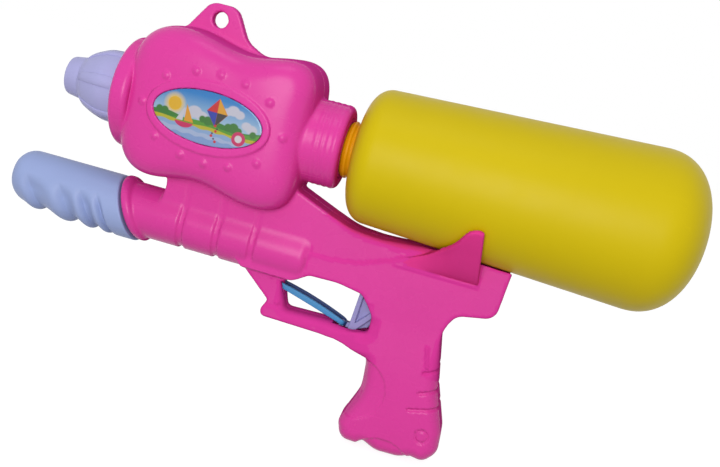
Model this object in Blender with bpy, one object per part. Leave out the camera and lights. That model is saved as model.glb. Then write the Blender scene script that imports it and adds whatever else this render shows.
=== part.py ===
"""Pump-action water squirter, modelled piece by piece.

Metres, +Z up. +X runs from the nozzle towards the tank, Y = 0 is the parting plane of the two
half shells, and the origin is the middle of the pistol grip.
"""

from math import atan2, copysign, cos, exp, hypot, pi, radians, sin, tan

import bmesh
import bpy
from mathutils import Matrix, Vector

# Walls and clearances
SHELL_WALL = 0.0022
SEAT_GAP = 0.0003
PARTING_GAP = 0.0003
TANK_CLEARANCE = 0.0006
RUN_IN = 0.004
THROUGH = 0.060

# Axes
TANK_AXIS_Z = 0.129
PUMP_AXIS_Z = 0.064

# Bubble body: a pillow with a waisted outline
BUBBLE_REAR_X = -0.0814
BUBBLE_HALF_LENGTH = 0.0523
BUBBLE_HALF_HEIGHT = 0.0456
BUBBLE_HALF_DEPTH = 0.031
BUBBLE_SQUARENESS = 5.0
BUBBLE_CROWN = 3.4
WAIST_SHARE = 0.17
WAIST_WIDTH = 0.025
TOP_WAIST_SHIFT = 0.012
BOTTOM_WAIST_SHIFT = -0.004
FACE_RING_RADIUS = 0.0315
FACE_RING_STEP = 0.0045
FACE_RING_ROUND = 0.003

# Oval label and its pad on each side
LABEL_HALF_LENGTH = 0.0302
LABEL_HALF_HEIGHT = 0.0140
LABEL_THICKNESS = 0.0006
LABEL_RIM_LENGTH = 0.0042
LABEL_RIM_HEIGHT = 0.0053
LABEL_PAD_STEP = 0.0006
LABEL_RECESS = 0.0010

# Hanging eye
EYE_SHIFT_X = -0.0144
EYE_RISE = 0.0506
EYE_RADIUS = 0.0085
EYE_HOLE_RADIUS = 0.0046
EYE_HALF_DEPTH = 0.0030

# Collar and tank
COLLAR_RADIUS = 0.0233
COLLAR_LENGTH = 0.0185
COLLAR_ROUND = 0.0025
NECK_SHOWN = 0.0026
NECK_INSERTED = 0.0155
NECK_RADIUS = 0.0143
NECK_WALL = 0.0021
NECK_RING_RADIUS = 0.0156
NECK_RING_WIDTH = 0.0014
TANK_LENGTH = 0.1925
TANK_FRONT_RADIUS = 0.0380
TANK_REAR_RADIUS = 0.0448
TANK_WALL = 0.0016
SHOULDER_LENGTH = 0.019
DOME_LENGTH = 0.030
DOME_SQUARENESS = 2.3
THREAD_CLEARANCE = 0.0005
HEAD_WALL = 0.0018
HEAD_FLANGE_STEP = 0.0030
HEAD_FLANGE_WIDTH = 0.0030
WASHER_THICKNESS = 0.0018
WASHER_WIDTH = 0.0040

# Hose nipples
HOSE_RADIUS = 0.0024
NIPPLE_RADIUS = 0.0022
NIPPLE_LENGTH = 0.008
NIPPLE_BORE = 0.0012
WATER_NIPPLE_Y = -0.005
WATER_NIPPLE_DROP = -0.004
AIR_NIPPLE_Y = 0.005
AIR_NIPPLE_DROP = 0.004
DIP_NIPPLE_LENGTH = 0.003

# Pump
TUBE_RADIUS = 0.0152
TUBE_END_SETBACK = 0.0006
TUBE_GROOVE_DEPTH = 0.0008
TUBE_GROOVE_WIDTH = 0.0026
TUBE_GROOVE_PITCH = 0.0195
TUBE_GROOVE_COUNT = 3
TUBE_FIRST_GROOVE = 0.0365
LIP_SETBACK = 0.0094
LIP_RADIUS = 0.0174
LIP_WIDTH = 0.0058
LIP_RAKE = radians(23.6)
HANDLE_RADIUS = 0.0166
HANDLE_LENGTH = 0.0730
HANDLE_TIP_LENGTH = 0.015
HANDLE_TAPER = 0.0010
HANDLE_SCALLOP = 0.0014
HANDLE_SCALLOPS = 4
HANDLE_WALL = 0.0026
HANDLE_GAP = 0.0008
ROD_RADIUS = 0.0040
ROD_SOCKET_WALL = 0.0022
ROD_SOCKET_DEPTH = 0.030
CYLINDER_WALL = 0.0017
CYLINDER_LENGTH = 0.070
CYLINDER_END_WALL = 0.0025
CYLINDER_SETBACK = 0.0106
CAP_LENGTH = 0.0033
PISTON_LENGTH = 0.011
PISTON_GROOVE_DEPTH = 0.0024
PISTON_GROOVE_WIDTH = 0.0040
PISTON_REST_GAP = 0.006
SEAL_STANDOUT = 0.0001
OUTLET_INSET = 0.0050
VALVE_RADIUS = 0.0045
VALVE_LENGTH = 0.0080

# Flat frame below the bubble
WEB_HALF_DEPTH = 0.0106
WEB_EDGE = 0.0012
BODY_HALF_DEPTH = 0.0126
BODY_EDGE = 0.0020
GRIP_HALF_DEPTH = 0.0140
GRIP_CROWN = 4.0
GRIP_CENTRE_Z = 0.008
FRAME_REAR_X = 0.0425
FRAME_TOP_Z = 0.0925
GUARD_TOP_Z = 0.0570
GUARD_BAR_TOP_Z = 0.0308
GUARD_BAR_BOTTOM_Z = 0.0250
GUARD_FRONT_X = -0.0875
GUARD_HALF_DEPTH = 0.0095
GUARD_POST_RECESS = 0.0012
GUARD_REAR_X = -0.0250
FIN_ROOT_Z = 0.0765
FIN_SINK = 0.0030
FIN_BACK = 0.0040

# Trigger group
PIVOT_X = -0.0240
PIVOT_Z = 0.0730
PIN_RADIUS = 0.0015
HUB_RADIUS = 0.0055
BLADE_HALF_WIDTH = 0.0023
FINGER_HALF_WIDTH = 0.0050
FINGER_RIB = 0.0024
SLOT_CLEARANCE = 0.0006
PINCH_X = -0.0460
PINCH_WIDTH = 0.0040
PINCH_SHARE = 0.55
NOSE_HALF_DEPTH = 0.0026
HOSE_SIDE_Y = 0.0052
HOSE_TOP_Z = 0.0822
BAND_THICKNESS = 0.0014
BAND_HEIGHT = 0.0034
BAND_POST_HALF_WIDTH = 0.0022
BAND_FRONT_X = -0.0866
BAND_FRONT_Z = 0.0460
BAND_REAR_X = -0.0385
BAND_REAR_Z = 0.0322
BAND_POST_LENGTH = 0.0026
BAND_POST_SETBACK = 0.0014
TOE_LENGTH = 0.0060
TRIGGER_DIP = 0.0040

# Nozzle group
NOZZLE_LENGTH = 0.0360
NOZZLE_BASE_RADIUS = 0.0205
NOZZLE_BASE_LENGTH = 0.0100
NOZZLE_CONE_RADIUS = 0.0130
NOZZLE_TIP_RADIUS = 0.0106
NOZZLE_TIP_LENGTH = 0.0075
NOZZLE_MOUTH_RADIUS = 0.0040
JET_RADIUS = 0.0050
JET_LENGTH = 0.0090
JET_BORE = 0.0009
SPIGOT_RADIUS = 0.0080
SPIGOT_FLANGE_RADIUS = 0.0125
SPIGOT_FLANGE_WIDTH = 0.0030
SPIGOT_BORE = 0.0016
FACE_WALL = 0.0030

# Shell screws, put in from the right side
SCREW_SHANK_RADIUS = 0.0014
SCREW_HEAD_RADIUS = 0.0030
SCREW_HEAD_HEIGHT = 0.0018
SCREW_SEAT_Y = 0.0055
SCREW_REACH = 0.0070
BOSS_WALL = 0.0016

# Facets
FINE = 28
COARSE = 20
SMALL = 12
ARC_STEP = radians(30.0)
MERGE = 0.000002

# Places worked out from the driving dimensions
BUBBLE_CENTRE_X = BUBBLE_REAR_X - BUBBLE_HALF_LENGTH
BUBBLE_FRONT_X = BUBBLE_CENTRE_X - BUBBLE_HALF_LENGTH
LIP_CENTRE_X = BUBBLE_FRONT_X + LIP_SETBACK
TUBE_END_X = BUBBLE_REAR_X - TUBE_END_SETBACK
RING_FRONT_X = BUBBLE_FRONT_X - FACE_RING_STEP
COLLAR_REAR_X = BUBBLE_REAR_X + COLLAR_LENGTH
SHOULDER_X = COLLAR_REAR_X + NECK_SHOWN
NECK_FRONT_X = COLLAR_REAR_X - NECK_INSERTED
WASHER_X = NECK_FRONT_X - SEAT_GAP - WASHER_THICKNESS
HEAD_INNER_X = WASHER_X - SEAT_GAP
HEAD_FRONT_X = HEAD_INNER_X - HEAD_FLANGE_WIDTH
HEAD_BORE = NECK_RADIUS + THREAD_CLEARANCE
HEAD_RADIUS = HEAD_BORE + HEAD_WALL
COLLAR_BORE = HEAD_RADIUS + SEAT_GAP
TANK_REAR_X = SHOULDER_X + TANK_LENGTH
TUBE_BORE = TUBE_RADIUS - SHELL_WALL
CYLINDER_RADIUS = TUBE_BORE - SEAT_GAP
CYLINDER_BORE = CYLINDER_RADIUS - CYLINDER_WALL
CYLINDER_FRONT_X = LIP_CENTRE_X + CYLINDER_SETBACK
CYLINDER_REAR_X = CYLINDER_FRONT_X + CYLINDER_LENGTH
PISTON_REAR_X = CYLINDER_REAR_X - CYLINDER_END_WALL - PISTON_REST_GAP
PISTON_FRONT_X = PISTON_REAR_X - PISTON_LENGTH
PISTON_RADIUS = CYLINDER_BORE - SEAT_GAP - SEAL_STANDOUT
PUMP_STROKE = PISTON_FRONT_X - CYLINDER_FRONT_X - SEAT_GAP
OUTLET_X = CYLINDER_REAR_X - OUTLET_INSET
OUTLET_TOP_Z = PUMP_AXIS_Z + CYLINDER_RADIUS + NIPPLE_LENGTH
HANDLE_REAR_X = LIP_CENTRE_X - HANDLE_GAP / cos(LIP_RAKE)
HANDLE_TIP_X = HANDLE_REAR_X - HANDLE_LENGTH
ROD_FRONT_X = HANDLE_REAR_X - ROD_SOCKET_DEPTH
EYE_X = BUBBLE_CENTRE_X + EYE_SHIFT_X
EYE_Z = TANK_AXIS_Z + EYE_RISE
PAD_FACE_Y = BUBBLE_HALF_DEPTH + LABEL_PAD_STEP
NOZZLE_BASE_X = RING_FRONT_X - SEAT_GAP
NOZZLE_TIP_X = NOZZLE_BASE_X - NOZZLE_LENGTH
SPIGOT_FRONT_X = NOZZLE_TIP_X + NOZZLE_TIP_LENGTH + JET_LENGTH + SEAT_GAP
SPIGOT_FLANGE_X = RING_FRONT_X + FACE_WALL + SEAT_GAP
SPIGOT_REAR_X = SPIGOT_FLANGE_X + SPIGOT_FLANGE_WIDTH + NIPPLE_LENGTH
WATER_NIPPLE_Z = TANK_AXIS_Z + WATER_NIPPLE_DROP
AIR_NIPPLE_Z = TANK_AXIS_Z + AIR_NIPPLE_DROP
NIPPLE_END_X = HEAD_FRONT_X - NIPPLE_LENGTH
DIP_NIPPLE_END_X = HEAD_INNER_X + DIP_NIPPLE_LENGTH
HOSE_PINCHED = HOSE_RADIUS * PINCH_SHARE
SHELL_CAVITY_Y = BODY_HALF_DEPTH - SHELL_WALL
SCREW_HOLE_RADIUS = SCREW_SHANK_RADIUS + SEAT_GAP
SCREW_COUNTERBORE = SCREW_HEAD_RADIUS + SEAT_GAP
BOSS_RADIUS = SCREW_COUNTERBORE + BOSS_WALL
SCREW_PLACES = (
    (0.0180, -0.0180),
    (-0.0020, 0.0400),
    (0.0300, 0.0740),
    (GUARD_FRONT_X + 0.0062, GUARD_BAR_TOP_Z + 0.0025),
    (BUBBLE_CENTRE_X - 0.0160, PUMP_AXIS_Z + TUBE_RADIUS + 0.0070),
    (BUBBLE_CENTRE_X - 0.0300, TANK_AXIS_Z + 0.0310),
)


def clear_scene():
    for item in list(bpy.data.objects):
        bpy.data.objects.remove(item, do_unlink=True)


def make_material(name, colour, roughness, metallic=0.0):
    material = bpy.data.materials.new(name)
    material.use_nodes = True
    shader = material.node_tree.nodes["Principled BSDF"]
    shader.inputs["Base Color"].default_value = (*colour, 1.0)
    shader.inputs["Roughness"].default_value = roughness
    shader.inputs["Metallic"].default_value = metallic
    material.diffuse_color = (*colour, 1.0)
    return material


def solid(name, bm):
    """Close a bmesh into an object whose faces point out."""
    bmesh.ops.recalc_face_normals(bm, faces=bm.faces)
    mesh = bpy.data.meshes.new(name)
    bm.to_mesh(mesh)
    bm.free()
    made = bpy.data.objects.new(name, mesh)
    bpy.context.scene.collection.objects.link(made)
    return made


def bridge(bm, first, second):
    """Faces between two rings of vertices; a ring of one vertex is a pole."""
    count = max(len(first), len(second))
    if count == 1:
        return
    for i in range(count):
        j = (i + 1) % count
        corners = [first[i % len(first)], first[j % len(first)]]
        corners += [second[j % len(second)], second[i % len(second)]]
        bm.faces.new(list(dict.fromkeys(corners)))


def lathe(name, loop, axis_z, facets=COARSE, axis_y=0.0):
    """Turn a closed loop of (x, radius) points about a line along X."""
    bm = bmesh.new()
    rings = []
    for x, radius in loop:
        if radius == 0.0:
            rings.append([bm.verts.new((x, axis_y, axis_z))])
            continue
        turns = [2.0 * pi * i / facets for i in range(facets)]
        rings.append([bm.verts.new((x, axis_y + radius * sin(a), axis_z + radius * cos(a))) for a in turns])
    for first, second in zip(rings, rings[1:] + rings[:1]):
        bridge(bm, first, second)
    return solid(name, bm)


def rod_x(name, x0, x1, radius, y, z, facets=SMALL):
    return lathe(name, [(x0, 0.0), (x0, radius), (x1, radius), (x1, 0.0)], z, facets, y)


def loft(name, rings):
    """Skin a row of equal closed rings, with a flat face on each end."""
    bm = bmesh.new()
    made = [[bm.verts.new(point) for point in ring] for ring in rings]
    for first, second in zip(made, made[1:]):
        bridge(bm, first, second)
    for end in (made[0], made[-1]):
        if len(end) > 1:
            bm.faces.new(end)
    return solid(name, bm)


def prism(name, outline, y0, y1):
    return loft(name, [[(x, y, z) for x, z in outline] for y in (y0, y1)])


def pin_y(name, x, z, radius, y0, y1, facets=SMALL):
    turns = [2.0 * pi * i / facets for i in range(facets)]
    return prism(name, [(x + radius * cos(a), z + radius * sin(a)) for a in turns], y0, y1)


def pin_z(name, x, y, radius, z0, z1, facets=SMALL):
    turns = [2.0 * pi * i / facets for i in range(facets)]
    ring = [(x + radius * cos(a), y + radius * sin(a)) for a in turns]
    return loft(name, [[(px, py, z) for px, py in ring] for z in (z0, z1)])


def block(name, x0, x1, y0, y1, z0, z1):
    return prism(name, [(x0, z0), (x1, z0), (x1, z1), (x0, z1)], y0, y1)


def plate(name, outline, half_depth, edge):
    """Flat plate about the parting plane with chamfered rims."""
    small = inset_outline(outline, edge)
    side = half_depth - edge
    levels = [(small, -half_depth), (outline, -side), (outline, side), (small, half_depth)]
    return loft(name, [[(x, y, z) for x, z in ring] for ring, y in levels])


def pillow(name, outline, centre_x, centre_z, half_depth, crown, steps):
    """Swell an outline about the parting plane to a crowned face on each side."""
    rings = []
    for i in range(-steps, steps + 1):
        angle = 0.5 * pi * i / steps
        y = half_depth * power(sin(angle), 2.0 / crown)
        if abs(i) == steps:
            rings.append([(centre_x, y, centre_z)])
            continue
        share = power(cos(angle), 2.0 / crown)
        ring = []
        for x, z in outline:
            ring.append((centre_x + share * (x - centre_x), y, centre_z + share * (z - centre_z)))
        rings.append(ring)
    return loft(name, rings)


def power(value, exponent):
    return copysign(abs(value) ** exponent, value)


def rounded_outline(corners):
    """Closed outline from (x, z, corner radius) points."""
    points = []
    for i, (x, z, radius) in enumerate(corners):
        here = Vector((x, z))
        back = (Vector(corners[i - 1][:2]) - here).normalized()
        ahead = (Vector(corners[(i + 1) % len(corners)][:2]) - here).normalized()
        opening = back.angle(ahead)
        if radius == 0.0 or opening > pi - 0.01:
            points.append((x, z))
            continue
        run = radius / tan(0.5 * opening)
        centre = here + (back + ahead).normalized() * radius / sin(0.5 * opening)
        start = here + back * run - centre
        end = here + ahead * run - centre
        sweep = start.angle_signed(end)
        steps = max(1, round(abs(sweep) / ARC_STEP))
        for k in range(steps + 1):
            turned = Matrix.Rotation(-sweep * k / steps, 2) @ start
            points.append(tuple(centre + turned))
    return points


def inset_outline(points, distance):
    """Move an outline inwards by a distance, corner by corner."""
    area = sum(a[0] * b[1] - b[0] * a[1] for a, b in zip(points, points[1:] + points[:1]))
    side = copysign(1.0, area)
    moved = []
    for i, point in enumerate(points):
        here = Vector(point)
        back = (here - Vector(points[i - 1])).normalized()
        ahead = (Vector(points[(i + 1) % len(points)]) - here).normalized()
        normal_back = Vector((-back.y, back.x)) * side
        normal_ahead = Vector((-ahead.y, ahead.x)) * side
        middle = normal_back + normal_ahead
        moved.append(tuple(here + middle * 2.0 * distance / middle.length_squared))
    return moved


def smooth_route(points, spacing):
    """Points along a smooth curve through a route's own points."""
    route = [Vector(point) for point in points]
    padded = [2.0 * route[0] - route[1], *route, 2.0 * route[-1] - route[-2]]
    made = []
    for a, b, c, d in zip(padded, padded[1:], padded[2:], padded[3:]):
        steps = max(1, round((c - b).length / spacing))
        for k in range(steps):
            t = k / steps
            pull = (2.0 * b) + (c - a) * t + (2.0 * a - 5.0 * b + 4.0 * c - d) * t * t
            made.append(0.5 * (pull + (3.0 * b - a - 3.0 * c + d) * t ** 3))
    made.append(route[-1])
    return made


def hose(name, points, radius, pinch_x=None):
    """Tube along a route; near pinch_x on the upper run it is squeezed."""
    curve = bpy.data.curves.new(name, "CURVE")
    curve.dimensions = "3D"
    curve.bevel_depth = radius
    curve.bevel_resolution = 2
    curve.use_fill_caps = True
    route = smooth_route(points, 3.0 * radius)
    spline = curve.splines.new("POLY")
    spline.points.add(len(route) - 1)
    for knot, place in zip(spline.points, route):
        knot.co = (*place, 1.0)
        near = pinch_x is not None and place.y < -0.5 * HOSE_SIDE_Y
        if near and abs(place.x - pinch_x) < PINCH_WIDTH:
            knot.radius = PINCH_SHARE
    made = bpy.data.objects.new(name, curve)
    bpy.context.scene.collection.objects.link(made)
    return made


def combine(target, operation, *tools):
    """Unite with, or cut by, all the tools in one step, and use the tools up."""
    group = bpy.data.collections.new(operation)
    for tool in tools:
        group.objects.link(tool)
    step = target.modifiers.new(operation, "BOOLEAN")
    step.operation = operation
    step.solver = "EXACT"
    step.operand_type = "COLLECTION"
    step.collection = group
    graph = bpy.context.evaluated_depsgraph_get()
    mesh = bpy.data.meshes.new_from_object(target.evaluated_get(graph))
    target.modifiers.remove(step)
    target.data = mesh
    for tool in tools:
        bpy.data.objects.remove(tool, do_unlink=True)
    bpy.data.collections.remove(group)
    return target


def tidy(made):
    """Merge doubled points and melt flat neighbours that the cuts left."""
    bm = bmesh.new()
    bm.from_mesh(made.data)
    bmesh.ops.remove_doubles(bm, verts=bm.verts, dist=MERGE)
    bmesh.ops.dissolve_degenerate(bm, edges=bm.edges, dist=MERGE)
    bm.to_mesh(made.data)
    bm.free()
    return made


def finish(made, name, material, parent):
    made.name = name
    made.data.name = name
    made.data.materials.clear()
    made.data.materials.append(material)
    if made.type == "MESH":
        made.data.shade_smooth()
        made.data.set_sharp_from_angle(angle=radians(30.0))
    made.parent = parent
    made.matrix_parent_inverse = parent.matrix_world.inverted()
    return made


def pivot(name, x, y, z):
    empty = bpy.data.objects.new(name, None)
    empty.location = (x, y, z)
    bpy.context.scene.collection.objects.link(empty)
    bpy.context.view_layer.update()
    return empty


# Outlines shared by the shells and the pieces in them

def bubble_outline(facets):
    outline = []
    for i in range(facets):
        turn = 2.0 * pi * i / facets
        x = BUBBLE_HALF_LENGTH * power(cos(turn), 2.0 / BUBBLE_SQUARENESS)
        z = BUBBLE_HALF_HEIGHT * power(sin(turn), 2.0 / BUBBLE_SQUARENESS)
        shift = TOP_WAIST_SHIFT if z > 0.0 else BOTTOM_WAIST_SHIFT
        z *= 1.0 - WAIST_SHARE * exp(-((x - shift) / WAIST_WIDTH) ** 2)
        outline.append((BUBBLE_CENTRE_X + x, TANK_AXIS_Z + z))
    return outline


def web_outline():
    """Plate between the bubble and the pump tube, running back under the tank."""
    bubble_floor = TANK_AXIS_Z - 0.5 * BUBBLE_HALF_HEIGHT
    return rounded_outline([
        (BUBBLE_CENTRE_X - 0.0275, bubble_floor, 0.0),
        (BUBBLE_CENTRE_X - 0.0275, PUMP_AXIS_Z + 0.0190, 0.012),
        (BUBBLE_CENTRE_X - 0.0183, PUMP_AXIS_Z + RUN_IN, 0.0),
        (TUBE_END_X, PUMP_AXIS_Z + RUN_IN, 0.0),
        (-0.0400, 0.0620, 0.0),
        (FRAME_REAR_X - RUN_IN, 0.0660, 0.0),
        (FRAME_REAR_X - RUN_IN, FRAME_TOP_Z, 0.0),
        (-0.0180, FRAME_TOP_Z - 0.0045, 0.020),
        (-0.0450, 0.0868, 0.060),
        (BUBBLE_REAR_X + 0.0124, 0.0922, 0.060),
        (BUBBLE_REAR_X - 0.0005, 0.0970, 0.0),
        (BUBBLE_REAR_X - 0.0300, bubble_floor, 0.0),
    ])


def body_outline():
    """Thick lower frame: guard, trigger housing and the block under the tank."""
    return rounded_outline([
        (GUARD_FRONT_X - 0.0170, PUMP_AXIS_Z - 0.0080, 0.0),
        (GUARD_FRONT_X + 0.0007, 0.0355, 0.003),
        (GUARD_FRONT_X - 0.0010, 0.0300, 0.002),
        (GUARD_FRONT_X, GUARD_BAR_BOTTOM_Z, 0.003),
        (-0.0400, GUARD_BAR_BOTTOM_Z - 0.0008, 0.030),
        (-0.0215, 0.0185, 0.006),
        (-0.0150, 0.0100, 0.0),
        (0.0100, 0.0300, 0.0),
        (0.0130, 0.0430, 0.008),
        (0.0190, 0.0565, 0.008),
        (FRAME_REAR_X - 0.0020, 0.0620, 0.004),
        (FRAME_REAR_X, FRAME_TOP_Z, 0.0),
        (0.0060, FRAME_TOP_Z, 0.0),
        (-0.0060, 0.0853, 0.020),
        (-0.0190, 0.0772, 0.030),
        (-0.0420, 0.0700, 0.030),
        (-0.0660, 0.0676, 0.0),
        (-0.0850, 0.0640, 0.0),
    ])


def guard_opening():
    return rounded_outline([
        (GUARD_FRONT_X + 0.0073, 0.0475, 0.0),
        (GUARD_FRONT_X + 0.0133, GUARD_BAR_TOP_Z, 0.002),
        (-0.0470, GUARD_BAR_TOP_Z + 0.0008, 0.010),
        (-0.0380, GUARD_BAR_TOP_Z - 0.0020, 0.006),
        (GUARD_REAR_X, GUARD_BAR_TOP_Z, 0.003),
        (GUARD_REAR_X, 0.0440, 0.006),
        (-0.0330, 0.0545, 0.006),
        (-0.0480, GUARD_TOP_Z, 0.030),
        (-0.0645, GUARD_TOP_Z - 0.0005, 0.006),
        (-0.0705, 0.0525, 0.004),
    ])


def grip_outline():
    return rounded_outline([
        (-0.0200, 0.0520, 0.0),
        (-0.0222, 0.0180, 0.0),
        (-0.0212, -0.0040, 0.030),
        (-0.0285, -0.0210, 0.006),
        (-0.0245, -0.0302, 0.006),
        (-0.0130, -0.0300, 0.006),
        (0.0000, -0.0330, 0.012),
        (0.0160, -0.0300, 0.010),
        (0.0287, -0.0270, 0.008),
        (0.0290, -0.0120, 0.014),
        (0.0205, 0.0110, 0.040),
        (0.0145, 0.0430, 0.0),
        (0.0140, 0.0520, 0.0),
    ])


def eye_outline():
    """Tear shape of the hanging eye, its foot inside the bubble."""
    floor_z = TANK_AXIS_Z + 0.7 * BUBBLE_HALF_HEIGHT
    return rounded_outline([
        (EYE_X - 0.0250, floor_z, 0.0),
        (EYE_X - 0.0150, EYE_Z - 0.0045, 0.012),
        (EYE_X - 0.0060, EYE_Z + EYE_RADIUS, EYE_RADIUS),
        (EYE_X + 0.0088, EYE_Z + EYE_RADIUS, EYE_RADIUS),
        (EYE_X + 0.0180, EYE_Z - 0.0080, 0.012),
        (EYE_X + 0.0300, EYE_Z - 0.0140, 0.0),
        (EYE_X + 0.0300, floor_z, 0.0),
    ])


def tank_radius(x):
    """Outside radius of the tank's tapered wall at x."""
    share = (x - SHOULDER_X) / TANK_LENGTH
    return TANK_FRONT_RADIUS + (TANK_REAR_RADIUS - TANK_FRONT_RADIUS) * share


def tank_profile(inset, neck_radius, steps):
    """Shoulder, tapered wall and dome as (x, radius) points, moved in by inset."""
    points = []
    start = SHOULDER_X + inset
    full = SHOULDER_X + SHOULDER_LENGTH
    for k in range(steps + 1):
        angle = 0.5 * pi * k / steps
        x = full - (full - start) * cos(angle)
        points.append((x, neck_radius + (tank_radius(full) - inset - neck_radius) * sin(angle)))
    dome = TANK_REAR_X - DOME_LENGTH
    for k in range(steps + 1):
        angle = 0.5 * pi * k / steps
        reach = power(sin(angle), 2.0 / DOME_SQUARENESS)
        x = dome + (DOME_LENGTH - inset) * reach
        radius = (tank_radius(dome) - inset) * power(cos(angle), 2.0 / DOME_SQUARENESS)
        points.append((x, 0.0 if k == steps else radius))
    return points


def tank_space(name, clearance):
    """The room that the tank's body takes, with a clearance all round."""
    profile = tank_profile(-clearance, NECK_RADIUS, 4)
    return lathe(name, [(profile[0][0], 0.0), *profile], TANK_AXIS_Z, FINE)


def raked_block(name, x_front, thickness):
    """Slab square to the raked lip; x_front is where its front face meets the pump axis."""
    slab = block(name, 0.0, thickness, -THROUGH, THROUGH, -THROUGH, THROUGH)
    turn = Matrix.Translation((x_front, 0.0, PUMP_AXIS_Z)) @ Matrix.Rotation(-LIP_RAKE, 4, "Y")
    slab.data.transform(turn)
    return slab


# Half shells

def fin_edge():
    """Outer edge of a cradle fin, from where it leaves the body to its rear tip."""
    return smooth_route([
        (-0.0195, BODY_HALF_DEPTH - 0.0010, FIN_ROOT_Z + 0.0010),
        (-0.0050, 0.0152, 0.0860),
        (0.0050, 0.0255, 0.0955),
        (0.0110, 0.0338, 0.1035),
        (0.0160, 0.0375, 0.1080),
        (0.0215, 0.0387, 0.1092),
        (0.0258, 0.0383, 0.1080),
    ], 0.006)


def fin(name, side):
    """Wing that flares from the body's side to the edge, its back left for the tank to cut."""
    inner = BODY_HALF_DEPTH - FIN_SINK
    rings = []
    for tip in fin_edge():
        to_axis = Vector((-tip.y, TANK_AXIS_Z - tip.z)).normalized() * FIN_BACK
        section = [
            (inner, FIN_ROOT_Z - 0.5 * FIN_SINK),
            (BODY_HALF_DEPTH - 0.0002, FIN_ROOT_Z),
            (tip.y, tip.z),
            (tip.y + to_axis.x, tip.z + to_axis.y),
            (inner - 0.0005, min(FRAME_TOP_Z, tip.z + to_axis.y)),
        ]
        rings.append([(tip.x, side * y, z) for y, z in section])
    return loft(name, rings)


def tube_profile():
    """Pump tube with shallow grooves round it and a domed rear end."""
    points = [(LIP_CENTRE_X - RUN_IN * 3.0, 0.0), (LIP_CENTRE_X - RUN_IN * 3.0, TUBE_RADIUS)]
    for i in range(TUBE_GROOVE_COUNT):
        middle = LIP_CENTRE_X + TUBE_FIRST_GROOVE + i * TUBE_GROOVE_PITCH
        points.append((middle - 0.5 * TUBE_GROOVE_WIDTH, TUBE_RADIUS))
        points.append((middle, TUBE_RADIUS - TUBE_GROOVE_DEPTH))
        points.append((middle + 0.5 * TUBE_GROOVE_WIDTH, TUBE_RADIUS))
    for k in range(5):
        angle = 0.5 * pi * k / 4
        points.append((TUBE_END_X + TUBE_RADIUS * sin(angle), 0.0 if k == 4 else TUBE_RADIUS * cos(angle)))
    return points


def outer_form():
    form = pillow("outer", bubble_outline(36), BUBBLE_CENTRE_X, TANK_AXIS_Z, BUBBLE_HALF_DEPTH,
                  BUBBLE_CROWN, 4)
    ring_rear = BUBBLE_FRONT_X + 3.0 * RUN_IN
    ring = lathe("ring", [
        (RING_FRONT_X, 0.0),
        (RING_FRONT_X, FACE_RING_RADIUS - FACE_RING_ROUND),
        (RING_FRONT_X + FACE_RING_ROUND, FACE_RING_RADIUS),
        (ring_rear, FACE_RING_RADIUS - 0.5 * FACE_RING_ROUND),
        (ring_rear, 0.0),
    ], TANK_AXIS_Z, FINE)
    collar = lathe("collar", [
        (BUBBLE_REAR_X - 2.0 * RUN_IN, 0.0),
        (BUBBLE_REAR_X - 2.0 * RUN_IN, COLLAR_RADIUS),
        (COLLAR_REAR_X - COLLAR_ROUND, COLLAR_RADIUS),
        (COLLAR_REAR_X, COLLAR_RADIUS - COLLAR_ROUND),
        (COLLAR_REAR_X, 0.0),
    ], TANK_AXIS_Z, FINE)
    tube = lathe("tube", tube_profile(), PUMP_AXIS_Z)
    lip = rod_x("lip", LIP_CENTRE_X - 0.02, LIP_CENTRE_X + 0.02, LIP_RADIUS, 0.0, PUMP_AXIS_Z, COARSE)
    combine(lip, "INTERSECT", raked_block("lip_slab", LIP_CENTRE_X, LIP_WIDTH / cos(LIP_RAKE)))
    web = plate("web", web_outline(), WEB_HALF_DEPTH, WEB_EDGE)
    body = plate("body", body_outline(), BODY_HALF_DEPTH, BODY_EDGE)
    combine(body, "DIFFERENCE", *guard_reliefs(0.0))
    grip = pillow("grip", grip_outline(), 0.0, GRIP_CENTRE_Z, GRIP_HALF_DEPTH, GRIP_CROWN, 4)
    eye = plate("eye", eye_outline(), EYE_HALF_DEPTH, 0.0006)
    pads = [label_pad("pad", side) for side in (-1.0, 1.0)]
    fins = [fin("fin", side) for side in (-1.0, 1.0)]
    combine(form, "UNION", ring, collar, web, tube, lip, body, grip, eye, *pads, *fins)
    return form


def guard_reliefs(wall):
    """What narrows the guard on both sides: its bar tapers out to the body, its post lies deeper."""
    made = []
    front_x = GUARD_FRONT_X - 0.0300
    for side in (-1.0, 1.0):
        bar_y = GUARD_HALF_DEPTH - wall
        bar = [
            (front_x, bar_y),
            (GUARD_REAR_X - 0.0270, bar_y),
            (GUARD_REAR_X + 0.0020, BODY_HALF_DEPTH + 0.0010 - wall),
            (GUARD_REAR_X + 0.0020, THROUGH),
            (front_x, THROUGH),
        ]
        top_z = PUMP_AXIS_Z - TUBE_RADIUS + 0.0015
        low_z = GUARD_BAR_BOTTOM_Z - 0.0150
        made.append(loft("bar_relief", [[(x, side * y, z) for x, y in bar] for z in (low_z, top_z)]))
        post_y = bar_y - GUARD_POST_RECESS
        made.append(block("post_relief", front_x, GUARD_FRONT_X + 0.0145, side * post_y, side * THROUGH,
                          GUARD_BAR_TOP_Z + 0.0012, top_z - SEAT_GAP))
    return made


def ellipse(half_length, half_height, facets):
    turns = [2.0 * pi * i / facets for i in range(facets)]
    return [(BUBBLE_CENTRE_X + half_length * cos(a), TANK_AXIS_Z + half_height * sin(a)) for a in turns]


def label_pad(name, side):
    rim = ellipse(LABEL_HALF_LENGTH + LABEL_RIM_LENGTH, LABEL_HALF_HEIGHT + LABEL_RIM_HEIGHT, FINE)
    return prism(name, rim, side * 0.6 * BUBBLE_HALF_DEPTH, side * PAD_FACE_Y)


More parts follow.
